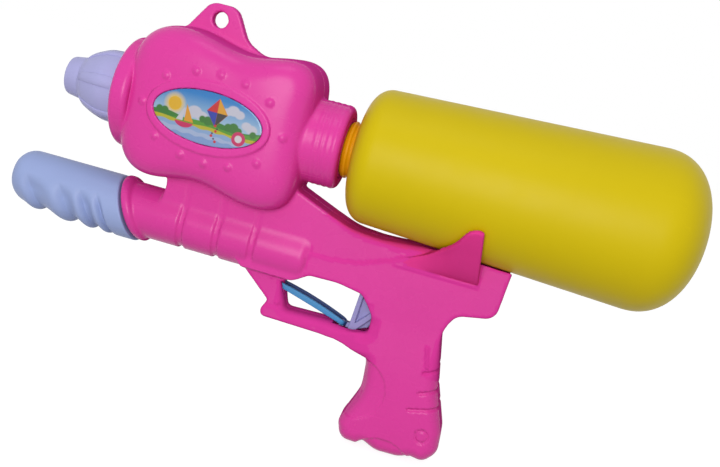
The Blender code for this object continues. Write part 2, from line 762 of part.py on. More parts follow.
def label_recess(name, side):
    outline = ellipse(LABEL_HALF_LENGTH + SEAT_GAP, LABEL_HALF_HEIGHT + SEAT_GAP, FINE)
    return prism(name, outline, side * (PAD_FACE_Y - LABEL_RECESS), side * THROUGH)


def core_form():
    """The hollow inside the shells, less the ribs and bosses that stand in it."""
    inside = inset_outline(bubble_outline(20), SHELL_WALL)
    depth = BUBBLE_HALF_DEPTH - SHELL_WALL
    core = pillow("core", inside, BUBBLE_CENTRE_X, TANK_AXIS_Z, depth, BUBBLE_CROWN, 3)
    clamp_x = SPIGOT_FLANGE_X + SPIGOT_FLANGE_WIDTH + SEAT_GAP
    front_wall_x = clamp_x + SHELL_WALL
    rear_wall_x = HEAD_FRONT_X - SEAT_GAP - SHELL_WALL
    front_wall = block("front_wall", front_wall_x - THROUGH, front_wall_x, -THROUGH, THROUGH, 0.0, 1.0)
    rear_wall = block("rear_wall", rear_wall_x, rear_wall_x + THROUGH, -THROUGH, THROUGH, 0.0, 1.0)
    combine(core, "DIFFERENCE", front_wall, rear_wall)
    face = lathe("face", [
        (RING_FRONT_X + FACE_WALL, 0.0),
        (RING_FRONT_X + FACE_WALL, SPIGOT_FLANGE_RADIUS + SEAT_GAP),
        (clamp_x, SPIGOT_FLANGE_RADIUS + SEAT_GAP),
        (clamp_x, SPIGOT_RADIUS + SEAT_GAP),
        (BUBBLE_CENTRE_X, SPIGOT_RADIUS + SEAT_GAP),
        (BUBBLE_CENTRE_X, 0.0),
    ], TANK_AXIS_Z)
    window = rod_x("window", BUBBLE_CENTRE_X + RUN_IN, HEAD_FRONT_X, HEAD_RADIUS - HEAD_FLANGE_STEP,
                   0.0, TANK_AXIS_Z, COARSE)
    bore = lathe("bore", [
        (LIP_CENTRE_X - 0.03, 0.0),
        (LIP_CENTRE_X - 0.03, TUBE_BORE),
        (TUBE_END_X, TUBE_BORE),
        (TUBE_END_X + 0.7 * TUBE_BORE, 0.7 * TUBE_BORE),
        (TUBE_END_X + TUBE_BORE, 0.0),
    ], PUMP_AXIS_Z)
    web = prism("web_core", inset_outline(web_outline(), SHELL_WALL), SHELL_WALL - WEB_HALF_DEPTH,
                WEB_HALF_DEPTH - SHELL_WALL)
    body = prism("body_core", inset_outline(body_outline(), SHELL_WALL), -SHELL_CAVITY_Y, SHELL_CAVITY_Y)
    grip = pillow("grip_core", inset_outline(grip_outline(), SHELL_WALL), 0.0, GRIP_CENTRE_Z,
                  GRIP_HALF_DEPTH - SHELL_WALL, GRIP_CROWN, 3)
    combine(core, "UNION", face, window, web, bore, body, grip)
    wall_round_opening = inset_outline(guard_opening(), -SHELL_WALL)
    opening_wall = prism("opening_wall", wall_round_opening, -THROUGH, THROUGH)
    combine(core, "DIFFERENCE", opening_wall, *guard_reliefs(SHELL_WALL))
    combine(core, "DIFFERENCE", tank_space("tank_wall", TANK_CLEARANCE + SHELL_WALL))
    combine(core, "DIFFERENCE", *ribs_and_bosses())
    return core


def ribs_and_bosses():
    made = []
    for x, z in SCREW_PLACES:
        made.append(pin_y("boss", x, z, BOSS_RADIUS, -THROUGH, THROUGH))
    hub = BLADE_HALF_WIDTH + SLOT_CLEARANCE
    for side in (-1.0, 1.0):
        made.append(pin_y("pivot_boss", PIVOT_X, PIVOT_Z, HUB_RADIUS, side * hub, side * THROUGH))
    anvil_floor = HOSE_TOP_Z + HOSE_PINCHED + SEAT_GAP
    made.append(block("anvil", PINCH_X - 0.5 * PINCH_WIDTH, PINCH_X + 0.5 * PINCH_WIDTH,
                      -THROUGH, -NOSE_HALF_DEPTH, anvil_floor, FRAME_TOP_Z))
    post_x = BAND_FRONT_X + BAND_THICKNESS + BAND_POST_SETBACK + BAND_POST_HALF_WIDTH
    post_top = PUMP_AXIS_Z - TUBE_BORE - SEAT_GAP
    made.append(pin_z("post_nose", post_x, 0.0, BAND_POST_HALF_WIDTH, GUARD_BAR_BOTTOM_Z, post_top))
    made.append(block("band_post", post_x, post_x + 2.0 * BAND_POST_LENGTH, -BAND_POST_HALF_WIDTH,
                      BAND_POST_HALF_WIDTH, GUARD_BAR_BOTTOM_Z, post_top))
    return made


def collar_bore():
    """Room for the tank head: its cup, and its flange held in a groove."""
    flange = HEAD_RADIUS + HEAD_FLANGE_STEP + SEAT_GAP
    return lathe("collar_bore", [
        (HEAD_FRONT_X - SEAT_GAP, 0.0),
        (HEAD_FRONT_X - SEAT_GAP, flange),
        (HEAD_INNER_X + SEAT_GAP, flange),
        (HEAD_INNER_X + SEAT_GAP, COLLAR_BORE),
        (COLLAR_REAR_X + THROUGH, COLLAR_BORE),
        (COLLAR_REAR_X + THROUGH, 0.0),
    ], TANK_AXIS_Z, FINE)


def shell_cuts():
    """Bores, slots and screw holes through the shells."""
    cuts = [tank_space("tank_room", TANK_CLEARANCE), collar_bore()]
    cuts.append(rod_x("spigot_hole", RING_FRONT_X - RUN_IN, RING_FRONT_X + 2.0 * FACE_WALL,
                      SPIGOT_RADIUS + SEAT_GAP, 0.0, TANK_AXIS_Z, COARSE))
    cuts.append(raked_block("lip_front", LIP_CENTRE_X - 0.05 / cos(LIP_RAKE), 0.05))
    cuts.append(prism("guard_gap", guard_opening(), -THROUGH, THROUGH))
    finger = FINGER_HALF_WIDTH + SLOT_CLEARANCE
    cuts.append(block("trigger_slot", GUARD_REAR_X - 0.0160, PIVOT_X + 0.0150, -finger, finger,
                      GUARD_BAR_TOP_Z - TRIGGER_DIP, GUARD_TOP_Z + RUN_IN))
    strand = BAND_POST_HALF_WIDTH + BAND_THICKNESS + 3.0 * SEAT_GAP
    for side in (-1.0, 1.0):
        cuts.append(block("band_window", BAND_FRONT_X + 0.0008, BAND_FRONT_X + 0.0120,
                          side * (BAND_POST_HALF_WIDTH + 0.5 * SEAT_GAP), side * strand,
                          BAND_FRONT_Z - 0.0062, BAND_FRONT_Z + 0.0020))
    cuts.append(pin_y("pin_hole", PIVOT_X, PIVOT_Z, PIN_RADIUS + SEAT_GAP, -SHELL_CAVITY_Y, SHELL_CAVITY_Y))
    cuts.append(pin_y("eye_hole", EYE_X, EYE_Z, EYE_HOLE_RADIUS, -THROUGH, THROUGH, COARSE))
    for side in (-1.0, 1.0):
        cuts.append(label_recess("label_recess", side))
    for x, z in SCREW_PLACES:
        cuts.append(pin_y("screw_hole", x, z, SCREW_HOLE_RADIUS, -SCREW_REACH - SEAT_GAP,
                          SCREW_SEAT_Y + RUN_IN))
        cuts.append(pin_y("counterbore", x, z, SCREW_COUNTERBORE, SCREW_SEAT_Y, THROUGH))
    return cuts


def half_shells(material, parent):
    form = outer_form()
    combine(form, "DIFFERENCE", core_form(), *shell_cuts())
    tidy(form)
    other = form.copy()
    other.data = form.data.copy()
    bpy.context.scene.collection.objects.link(other)
    reach = 1.0
    gap = 0.5 * PARTING_GAP
    combine(form, "INTERSECT", block("left_half", -reach, reach, -reach, -gap, -reach, reach))
    combine(other, "INTERSECT", block("right_half", -reach, reach, gap, reach, -reach, reach))
    finish(tidy(form), "left_shell", material, parent)
    finish(tidy(other), "right_shell", material, parent)


def labels(material, parent):
    for name, side in (("label_left", -1.0), ("label_right", 1.0)):
        inner = PAD_FACE_Y - LABEL_RECESS + SEAT_GAP
        plate_made = prism(name, ellipse(LABEL_HALF_LENGTH, LABEL_HALF_HEIGHT, FINE), side * inner,
                           side * (inner + LABEL_THICKNESS))
        finish(plate_made, name, material, parent)


# Nozzle group

def nozzle(material, parent):
    jet_rear = NOZZLE_TIP_X + NOZZLE_TIP_LENGTH + JET_LENGTH
    bore = SPIGOT_RADIUS + SEAT_GAP
    seat = JET_RADIUS + SEAT_GAP
    made = lathe("nozzle", [
        (NOZZLE_BASE_X, bore),
        (NOZZLE_BASE_X, NOZZLE_BASE_RADIUS),
        (NOZZLE_BASE_X - NOZZLE_BASE_LENGTH, NOZZLE_BASE_RADIUS - 0.0003),
        (NOZZLE_TIP_X + NOZZLE_TIP_LENGTH + 0.0010, NOZZLE_CONE_RADIUS),
        (NOZZLE_TIP_X + NOZZLE_TIP_LENGTH, NOZZLE_TIP_RADIUS),
        (NOZZLE_TIP_X + 0.0010, NOZZLE_TIP_RADIUS),
        (NOZZLE_TIP_X, NOZZLE_TIP_RADIUS - 0.0010),
        (NOZZLE_TIP_X, NOZZLE_MOUTH_RADIUS),
        (NOZZLE_TIP_X + NOZZLE_TIP_LENGTH, NOZZLE_MOUTH_RADIUS),
        (NOZZLE_TIP_X + NOZZLE_TIP_LENGTH, seat),
        (jet_rear, seat),
        (jet_rear, bore),
    ], TANK_AXIS_Z)
    finish(made, "nozzle", material, parent)


def nozzle_jet(material, parent):
    front = NOZZLE_TIP_X + NOZZLE_TIP_LENGTH + SEAT_GAP
    rear = NOZZLE_TIP_X + NOZZLE_TIP_LENGTH + JET_LENGTH - SEAT_GAP
    made = lathe("nozzle_jet", [
        (front, JET_BORE),
        (front, JET_RADIUS),
        (rear, JET_RADIUS),
        (rear, JET_BORE),
    ], TANK_AXIS_Z)
    finish(made, "nozzle_jet", material, parent)


def outlet_pipe(material, parent):
    made = lathe("outlet_pipe", [
        (SPIGOT_FRONT_X, SPIGOT_BORE),
        (SPIGOT_FRONT_X, SPIGOT_RADIUS),
        (SPIGOT_FLANGE_X, SPIGOT_RADIUS),
        (SPIGOT_FLANGE_X, SPIGOT_FLANGE_RADIUS),
        (SPIGOT_FLANGE_X + SPIGOT_FLANGE_WIDTH, SPIGOT_FLANGE_RADIUS),
        (SPIGOT_FLANGE_X + SPIGOT_FLANGE_WIDTH, NIPPLE_RADIUS),
        (SPIGOT_REAR_X, NIPPLE_RADIUS),
        (SPIGOT_REAR_X, NIPPLE_BORE),
    ], TANK_AXIS_Z)
    finish(made, "outlet_pipe", material, parent)


# Tank group

def tank(material, parent):
    outer = tank_profile(0.0, NECK_RADIUS, 4)
    inner = tank_profile(TANK_WALL, NECK_RADIUS - NECK_WALL, 4)
    ring_x = SHOULDER_X - NECK_RING_WIDTH
    neck = [
        (NECK_FRONT_X, NECK_RADIUS - NECK_WALL),
        (NECK_FRONT_X, NECK_RADIUS),
        (ring_x, NECK_RADIUS),
        (ring_x, NECK_RING_RADIUS),
        (SHOULDER_X, NECK_RING_RADIUS),
    ]
    made = lathe("tank", [*neck, *outer[1:], *reversed(inner)], TANK_AXIS_Z, FINE)
    finish(made, "tank", material, parent)


def tank_washer(material, parent):
    made = lathe("tank_washer", [
        (WASHER_X, NECK_RADIUS - WASHER_WIDTH),
        (WASHER_X, NECK_RADIUS),
        (WASHER_X + WASHER_THICKNESS, NECK_RADIUS),
        (WASHER_X + WASHER_THICKNESS, NECK_RADIUS - WASHER_WIDTH),
    ], TANK_AXIS_Z)
    finish(made, "tank_washer", material, parent)


def tank_head(material, parent):
    flange = HEAD_RADIUS + HEAD_FLANGE_STEP
    made = lathe("tank_head", [
        (HEAD_FRONT_X, 0.0),
        (HEAD_FRONT_X, flange),
        (HEAD_INNER_X, flange),
        (HEAD_INNER_X, HEAD_RADIUS),
        (COLLAR_REAR_X, HEAD_RADIUS),
        (COLLAR_REAR_X, HEAD_BORE),
        (HEAD_INNER_X, HEAD_BORE),
        (HEAD_INNER_X, 0.0),
    ], TANK_AXIS_Z, FINE)
    inside = HEAD_FRONT_X + 0.5 * HEAD_FLANGE_WIDTH
    nipples = [
        rod_x("water", NIPPLE_END_X, inside, NIPPLE_RADIUS, WATER_NIPPLE_Y, WATER_NIPPLE_Z),
        rod_x("air", NIPPLE_END_X, inside, NIPPLE_RADIUS, AIR_NIPPLE_Y, AIR_NIPPLE_Z),
        rod_x("dip", inside, DIP_NIPPLE_END_X, NIPPLE_RADIUS, WATER_NIPPLE_Y, WATER_NIPPLE_Z),
    ]
    combine(made, "UNION", *nipples)
    water = rod_x("water_way", NIPPLE_END_X - RUN_IN, DIP_NIPPLE_END_X + RUN_IN, NIPPLE_BORE,
                  WATER_NIPPLE_Y, WATER_NIPPLE_Z)
    air = rod_x("air_way", NIPPLE_END_X - RUN_IN, HEAD_INNER_X + RUN_IN, NIPPLE_BORE,
                AIR_NIPPLE_Y, AIR_NIPPLE_Z)
    combine(made, "DIFFERENCE", water, air)
    finish(tidy(made), "tank_head", material, parent)


def dip_tube(material, parent):
    start = DIP_NIPPLE_END_X + SEAT_GAP
    made = hose("dip_tube", [
        (start, WATER_NIPPLE_Y, WATER_NIPPLE_Z),
        (start + 0.006, WATER_NIPPLE_Y, WATER_NIPPLE_Z),
        (start + 0.060, 0.8 * WATER_NIPPLE_Y, WATER_NIPPLE_Z - 0.0100),
        (start + 0.110, 0.4 * WATER_NIPPLE_Y, WATER_NIPPLE_Z - 0.0220),
        (start + 0.165, 0.0, WATER_NIPPLE_Z - 0.0300),
    ], HOSE_RADIUS)
    finish(made, "dip_tube", material, parent)


def water_hose(material, parent):
    side = HOSE_SIDE_Y
    top = HOSE_TOP_Z
    made = hose("water_hose", [
        (NIPPLE_END_X - SEAT_GAP, WATER_NIPPLE_Y, WATER_NIPPLE_Z),
        (NIPPLE_END_X - 0.006, WATER_NIPPLE_Y, WATER_NIPPLE_Z),
        (NIPPLE_END_X - 0.0167, -0.0060, WATER_NIPPLE_Z - 0.0045),
        (NIPPLE_END_X - 0.0192, -0.0070, WATER_NIPPLE_Z - 0.0130),
        (NIPPLE_END_X - 0.0142, -0.0065, WATER_NIPPLE_Z - 0.0230),
        (BUBBLE_REAR_X - 0.0146, -side, WATER_NIPPLE_Z - 0.0300),
        (BUBBLE_REAR_X - 0.0026, -side, top + 0.0053),
        (BUBBLE_REAR_X + 0.0114, -side, top + 0.0020),
        (-0.0550, -side, top),
        (PINCH_X - 0.003, -side, top),
        (PINCH_X + 0.003, -side, top),
        (-0.0300, -side, top),
        (-0.0120, -side, 0.0820),
        (-0.0020, -0.0040, 0.0770),
        (0.0005, 0.0000, 0.0715),
        (-0.0040, 0.0040, 0.0660),
        (-0.0140, side, 0.0635),
        (-0.0300, side, 0.0635),
        (-0.0450, side, 0.0660),
        (-0.0560, side, 0.0735),
        (BUBBLE_REAR_X + 0.0124, side, 0.0820),
        (BUBBLE_REAR_X - 0.0026, side, top + 0.0053),
        (BUBBLE_REAR_X - 0.0146, side, WATER_NIPPLE_Z - 0.0300),
        (BUBBLE_REAR_X - 0.0276, 0.0075, WATER_NIPPLE_Z - 0.0220),
        (BUBBLE_CENTRE_X + 0.0097, 0.0090, TANK_AXIS_Z - 0.0160),
        (BUBBLE_CENTRE_X - 0.0083, 0.0060, TANK_AXIS_Z - 0.0065),
        (SPIGOT_REAR_X + 0.0202, 0.0020, TANK_AXIS_Z - 0.0010),
        (SPIGOT_REAR_X + 0.006, 0.0, TANK_AXIS_Z),
        (SPIGOT_REAR_X + SEAT_GAP, 0.0, TANK_AXIS_Z),
    ], HOSE_RADIUS, PINCH_X)
    finish(made, "water_hose", material, parent)


def air_hose(material, parent):
    start = OUTLET_TOP_Z + VALVE_LENGTH + 2.0 * SEAT_GAP
    made = hose("air_hose", [
        (OUTLET_X, 0.0, start),
        (OUTLET_X, 0.0, start + 0.006),
        (OUTLET_X - 0.0040, 0.0020, AIR_NIPPLE_Z - 0.0210),
        (NIPPLE_END_X - 0.0162, 0.0040, AIR_NIPPLE_Z - 0.0110),
        (NIPPLE_END_X - 0.0132, AIR_NIPPLE_Y, AIR_NIPPLE_Z - 0.0025),
        (NIPPLE_END_X - 0.006, AIR_NIPPLE_Y, AIR_NIPPLE_Z),
        (NIPPLE_END_X - SEAT_GAP, AIR_NIPPLE_Y, AIR_NIPPLE_Z),
    ], HOSE_RADIUS)
    finish(made, "air_hose", material, parent)


# Pump group

def pump_cylinder(material, parent):
    end = CYLINDER_REAR_X - CYLINDER_END_WALL
    made = lathe("pump_cylinder", [
        (CYLINDER_FRONT_X, CYLINDER_BORE),
        (CYLINDER_FRONT_X, CYLINDER_RADIUS),
        (CYLINDER_REAR_X, CYLINDER_RADIUS),
        (CYLINDER_REAR_X, 0.0),
        (end, 0.0),
        (end, CYLINDER_BORE),
    ], PUMP_AXIS_Z)
    wall = PUMP_AXIS_Z + CYLINDER_BORE
    foot = wall + 0.5 * CYLINDER_WALL
    combine(made, "UNION", pin_z("outlet", OUTLET_X, 0.0, NIPPLE_RADIUS, foot, OUTLET_TOP_Z))
    way = pin_z("outlet_way", OUTLET_X, 0.0, NIPPLE_BORE, wall - RUN_IN, OUTLET_TOP_Z + RUN_IN)
    combine(made, "DIFFERENCE", way)
    finish(tidy(made), "pump_cylinder", material, parent)


def cylinder_cap(material, parent):
    rear = CYLINDER_FRONT_X - SEAT_GAP
    made = lathe("cylinder_cap", [
        (rear - CAP_LENGTH, ROD_RADIUS + SEAT_GAP),
        (rear - CAP_LENGTH, CYLINDER_RADIUS),
        (rear, CYLINDER_RADIUS),
        (rear, ROD_RADIUS + SEAT_GAP),
    ], PUMP_AXIS_Z)
    finish(made, "cylinder_cap", material, parent)


def check_valve(material, parent):
    floor = OUTLET_TOP_Z + SEAT_GAP
    made = pin_z("check_valve", OUTLET_X, 0.0, VALVE_RADIUS, floor, floor + VALVE_LENGTH)
    combine(made, "DIFFERENCE", pin_z("valve_way", OUTLET_X, 0.0, NIPPLE_BORE, floor - RUN_IN,
                                      floor + VALVE_LENGTH + RUN_IN))
    finish(made, "check_valve", material, parent)


def pump_handle(material, parent):
    """Grip sleeve with a rounded tip; finger scallops run along its lower side."""
    stations = 20
    facets = COARSE
    over = 0.012
    length = HANDLE_LENGTH + over
    rings = [[(HANDLE_TIP_X, 0.0, PUMP_AXIS_Z)]]
    for i in range(1, stations + 1):
        along = length * (i / stations) ** 1.25
        tip = min(1.0, along / HANDLE_TIP_LENGTH)
        radius = HANDLE_RADIUS * (1.0 - (1.0 - tip) ** 2.4) ** (1.0 / 2.4)
        taper = HANDLE_TAPER * max(0.0, 1.0 - along / HANDLE_LENGTH)
        wave = HANDLE_SCALLOP * (0.5 + 0.5 * cos(2.0 * pi * HANDLE_SCALLOPS * along / HANDLE_LENGTH))
        ring = []
        for k in range(facets):
            turn = 2.0 * pi * k / facets
            below = max(0.0, -cos(turn))
            reach = radius - (taper + wave) * below * tip
            ring.append((HANDLE_TIP_X + along, reach * sin(turn), PUMP_AXIS_Z + reach * cos(turn)))
        rings.append(ring)
    made = loft("pump_handle", rings)
    combine(made, "DIFFERENCE", raked_block("handle_rear", HANDLE_REAR_X, 0.05))
    hollow_front = HANDLE_TIP_X + HANDLE_TIP_LENGTH + HANDLE_WALL
    socket = ROD_RADIUS + SEAT_GAP + ROD_SOCKET_WALL
    hollow = HANDLE_RADIUS - HANDLE_TAPER - HANDLE_SCALLOP - HANDLE_WALL
    combine(made, "DIFFERENCE", lathe("hollow", [
        (hollow_front, socket),
        (hollow_front, hollow),
        (HANDLE_REAR_X + THROUGH, hollow),
        (HANDLE_REAR_X + THROUGH, socket),
    ], PUMP_AXIS_Z))
    combine(made, "DIFFERENCE", rod_x("rod_socket", ROD_FRONT_X - SEAT_GAP, HANDLE_REAR_X + THROUGH,
                                      ROD_RADIUS + SEAT_GAP, 0.0, PUMP_AXIS_Z))
    finish(tidy(made), "pump_handle", material, parent)


def pump_rod(material, parent):
    rear = PISTON_FRONT_X + 0.5 * PISTON_LENGTH
    finish(rod_x("pump_rod", ROD_FRONT_X, rear, ROD_RADIUS, 0.0, PUMP_AXIS_Z), "pump_rod", material, parent)


def piston(material, parent):
    groove = PISTON_RADIUS - PISTON_GROOVE_DEPTH
    middle = 0.5 * (PISTON_FRONT_X + PISTON_REAR_X)
    socket = ROD_RADIUS + SEAT_GAP
    blind = PISTON_FRONT_X + 0.5 * PISTON_LENGTH + SEAT_GAP
    made = lathe("piston", [
        (PISTON_FRONT_X, socket),
        (PISTON_FRONT_X, PISTON_RADIUS),
        (middle - 0.5 * PISTON_GROOVE_WIDTH, PISTON_RADIUS),
        (middle - 0.5 * PISTON_GROOVE_WIDTH, groove),
        (middle + 0.5 * PISTON_GROOVE_WIDTH, groove),
        (middle + 0.5 * PISTON_GROOVE_WIDTH, PISTON_RADIUS),
        (PISTON_REAR_X, PISTON_RADIUS),
        (PISTON_REAR_X, 0.0),
        (blind, 0.0),
        (blind, socket),
    ], PUMP_AXIS_Z)
    finish(made, "piston", material, parent)


def piston_seal(material, parent):
    middle = 0.5 * (PISTON_FRONT_X + PISTON_REAR_X)
    half = 0.5 * PISTON_GROOVE_WIDTH - SEAT_GAP
    inner = PISTON_RADIUS - PISTON_GROOVE_DEPTH + SEAT_GAP
    outer = PISTON_RADIUS + SEAL_STANDOUT
    made = lathe("piston_seal", [
        (middle - half, inner),
        (middle - half, outer),
        (middle + half, outer),
        (middle + half, inner),
    ], PUMP_AXIS_Z)
    finish(made, "piston_seal", material, parent)


# Trigger group

def trigger(material, parent):
    """Flat lever: hub on the pin, pinch nose in front, ribbed finger piece below."""
    nose_top = HOSE_TOP_Z - HOSE_PINCHED - SEAT_GAP
    front = PINCH_X - 0.5 * PINCH_WIDTH
    blade = rounded_outline([
        (PIVOT_X, PIVOT_Z + HUB_RADIUS, 0.004),
        (front, nose_top, 0.001),
        (front, nose_top - 0.004, 0.001),
        (PIVOT_X - 0.0100, PIVOT_Z - 0.0050, 0.004),
        (-0.0345, 0.0545, 0.006),
        (-0.0365, 0.0312, 0.001),
        (-0.0335, 0.0312, 0.001),
        (-0.0250, 0.0415, 0.010),
        (-0.0165, 0.0560, 0.010),
        (PIVOT_X + HUB_RADIUS + 0.001, PIVOT_Z, 0.004),
    ])
    made = prism("trigger", blade, -BLADE_HALF_WIDTH, BLADE_HALF_WIDTH)
    rib = [
        (-0.0350, 0.0545),
        (-0.0370, 0.0307),
        (-0.0332, 0.0307),
        (-0.0245, 0.0411),
        (-0.0262, 0.0411 + FINGER_RIB),
        (-0.0338, 0.0352),
        (-0.0350 + FINGER_RIB, 0.0545),
    ]
    ribs = prism("finger_rib", rib, -FINGER_HALF_WIDTH, FINGER_HALF_WIDTH)
    nose = block("nose", front, front + PINCH_WIDTH, -HOSE_SIDE_Y - NOSE_HALF_DEPTH, 0.5 * BLADE_HALF_WIDTH,
                 nose_top - 0.003, nose_top)
    toe_front = BAND_REAR_X - BAND_THICKNESS - SEAT_GAP - BAND_POST_LENGTH
    toe_half = BAND_POST_HALF_WIDTH
    toe = block("toe", toe_front, -0.0355, -toe_half, toe_half, BAND_REAR_Z - 0.5 * TOE_LENGTH + 0.0015,
                BAND_REAR_Z + 0.5 * TOE_LENGTH)
    combine(made, "UNION", ribs, nose, toe)
    hub_bore = pin_y("hub_bore", PIVOT_X, PIVOT_Z, PIN_RADIUS + SEAT_GAP, -THROUGH, THROUGH)
    combine(made, "DIFFERENCE", band_notch(), hub_bore)
    finish(tidy(made), "trigger", material, parent)


def band_frame():
    """Middle of the band, its length and its slope."""
    run = Vector((BAND_REAR_X - BAND_FRONT_X, BAND_REAR_Z - BAND_FRONT_Z))
    middle = (0.5 * (BAND_REAR_X + BAND_FRONT_X), 0.5 * (BAND_REAR_Z + BAND_FRONT_Z))
    return middle, run.length, atan2(run.y, run.x)


def band_loop(half_length, half_width, facets):
    """Stadium outline in the band's own plane: along the band, and across it in Y."""
    points = []
    for end in (1.0, -1.0):
        for k in range(facets + 1):
            turn = pi * k / facets - 0.5 * pi
            along = end * (half_length - half_width + half_width * cos(turn))
            points.append((along, end * half_width * sin(turn)))
    return points


def band_solid(name, inner, outer, height):
    """Ring of rubber between two stadium outlines, or a solid one if inner is None."""
    middle, length, slope = band_frame()
    bm = bmesh.new()
    low, high = -0.5 * height, 0.5 * height
    outlines = [outer] if inner is None else [outer, inner]
    rows = []
    for outline in outlines:
        rows.append([bm.verts.new((a, y, low)) for a, y in outline])
        rows.append([bm.verts.new((a, y, high)) for a, y in outline])
    if inner is None:
        bridge(bm, rows[0], rows[1])
        bm.faces.new(rows[0])
        bm.faces.new(rows[1])
    else:
        for first, second in ((rows[0], rows[1]), (rows[1], rows[3]), (rows[3], rows[2]), (rows[2], rows[0])):
            bridge(bm, first, second)
    made = solid(name, bm)
    made.data.transform(Matrix.Translation((middle[0], 0.0, middle[1])) @ Matrix.Rotation(-slope, 4, "Y"))
    return made


def band_notch():
    """Groove in the toe where the band's rear end lies."""
    _, length, _ = band_frame()
    outer = band_loop(0.5 * length + SEAT_GAP, BAND_POST_HALF_WIDTH + BAND_THICKNESS + 3.0 * SEAT_GAP, 4)
    inner = band_loop(0.5 * length - BAND_THICKNESS - SEAT_GAP, BAND_POST_HALF_WIDTH, 4)
    return band_solid("notch", inner, outer, BAND_HEIGHT + 2.0 * SEAT_GAP)


def trigger_band(material, parent):
    _, length, _ = band_frame()
    half_width = BAND_POST_HALF_WIDTH + 1.5 * SEAT_GAP
    outer = band_loop(0.5 * length, half_width + BAND_THICKNESS, 4)
    inner = band_loop(0.5 * length - BAND_THICKNESS, half_width, 4)
    finish(band_solid("trigger_band", inner, outer, BAND_HEIGHT), "trigger_band", material, parent)


def trigger_pin(material, parent):
    reach = SHELL_CAVITY_Y - SEAT_GAP
    finish(pin_y("trigger_pin", PIVOT_X, PIVOT_Z, PIN_RADIUS, -reach, reach), "trigger_pin", material, parent)


def shell_screws(material, parent):
    """Pan-head screws, heads in the right shell's counterbores."""
    for number, (x, z) in enumerate(SCREW_PLACES, start=1):
        head = SCREW_SEAT_Y + SEAT_GAP
        made = pin_y("screw", x, z, SCREW_HEAD_RADIUS, head, head + SCREW_HEAD_HEIGHT)
        neck = head + 0.5 * SCREW_HEAD_HEIGHT
        combine(made, "UNION", pin_y("shank", x, z, SCREW_SHANK_RADIUS, -SCREW_REACH, neck))
        finish(made, "shell_screw_%d" % number, material, parent)


def main():
    clear_scene()
    pink = make_material("pink_shell", (0.70, 0.065, 0.33), 0.35)
    lilac = make_material("lilac_plastic", (0.30, 0.35, 0.62), 0.40)
    yellow = make_material("yellow_tank", (0.66, 0.47, 0.012), 0.42)
    blue = make_material("blue_rubber", (0.05, 0.22, 0.45), 0.60)
    black = make_material("black_rubber", (0.02, 0.02, 0.02), 0.70)
    white = make_material("white_plastic", (0.75, 0.75, 0.72), 0.45)
    clear = make_material("clear_hose", (0.70, 0.72, 0.70), 0.30)
    steel = make_material("steel", (0.55, 0.55, 0.55), 0.35, 1.0)
    print_ink = make_material("label_print", (0.45, 0.62, 0.80), 0.30)

    housing = pivot("housing", 0.0, 0.0, 0.0)
    pump_slide = pivot("pump_slide", LIP_CENTRE_X, 0.0, PUMP_AXIS_Z)
    trigger_hinge = pivot("trigger_hinge", PIVOT_X, 0.0, PIVOT_Z)
    tank_screw = pivot("tank_screw", COLLAR_REAR_X, 0.0, TANK_AXIS_Z)

    half_shells(pink, housing)
    labels(print_ink, housing)
    nozzle(lilac, housing)
    nozzle_jet(white, housing)
    outlet_pipe(white, housing)
    tank_head(white, housing)
    dip_tube(clear, housing)
    water_hose(clear, housing)
    air_hose(clear, housing)
    pump_cylinder(white, housing)
    cylinder_cap(white, housing)
    check_valve(white, housing)
    trigger_pin(steel, housing)
    trigger_band(blue, housing)
    shell_screws(steel, housing)
    tank(yellow, tank_screw)
    tank_washer(black, tank_screw)
    pump_handle(lilac, pump_slide)
    pump_rod(white, pump_slide)
    piston(white, pump_slide)
    piston_seal(black, pump_slide)
    trigger(lilac, trigger_hinge)

    print("pump stroke %.4f m" % PUMP_STROKE)
    print("pump axis z %.4f, tank axis z %.4f" % (PUMP_AXIS_Z, TANK_AXIS_Z))
    print("trigger pivot (%.4f, %.4f)" % (PIVOT_X, PIVOT_Z))
    print("eye at (%.4f, %.4f), collar rear x %.4f" % (EYE_X, EYE_Z, COLLAR_REAR_X))


main()
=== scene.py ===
# %% [markdown]
# # Dressing a water squirter
# The CAD model gives every piece its place and its motion. This lesson gives the pieces their looks:
# soft moulded edges, a printed label, satin and glossy plastics, a rubber band. Each step says what
# the piece is on the real toy, how it could be made, and why it is made this way here.

# %% Load the CAD frame
from math import acos, atan2, cos, pi, radians, sin, sqrt, tan

import bmesh
import bpy
import numpy as np
from mathutils import Matrix, Vector


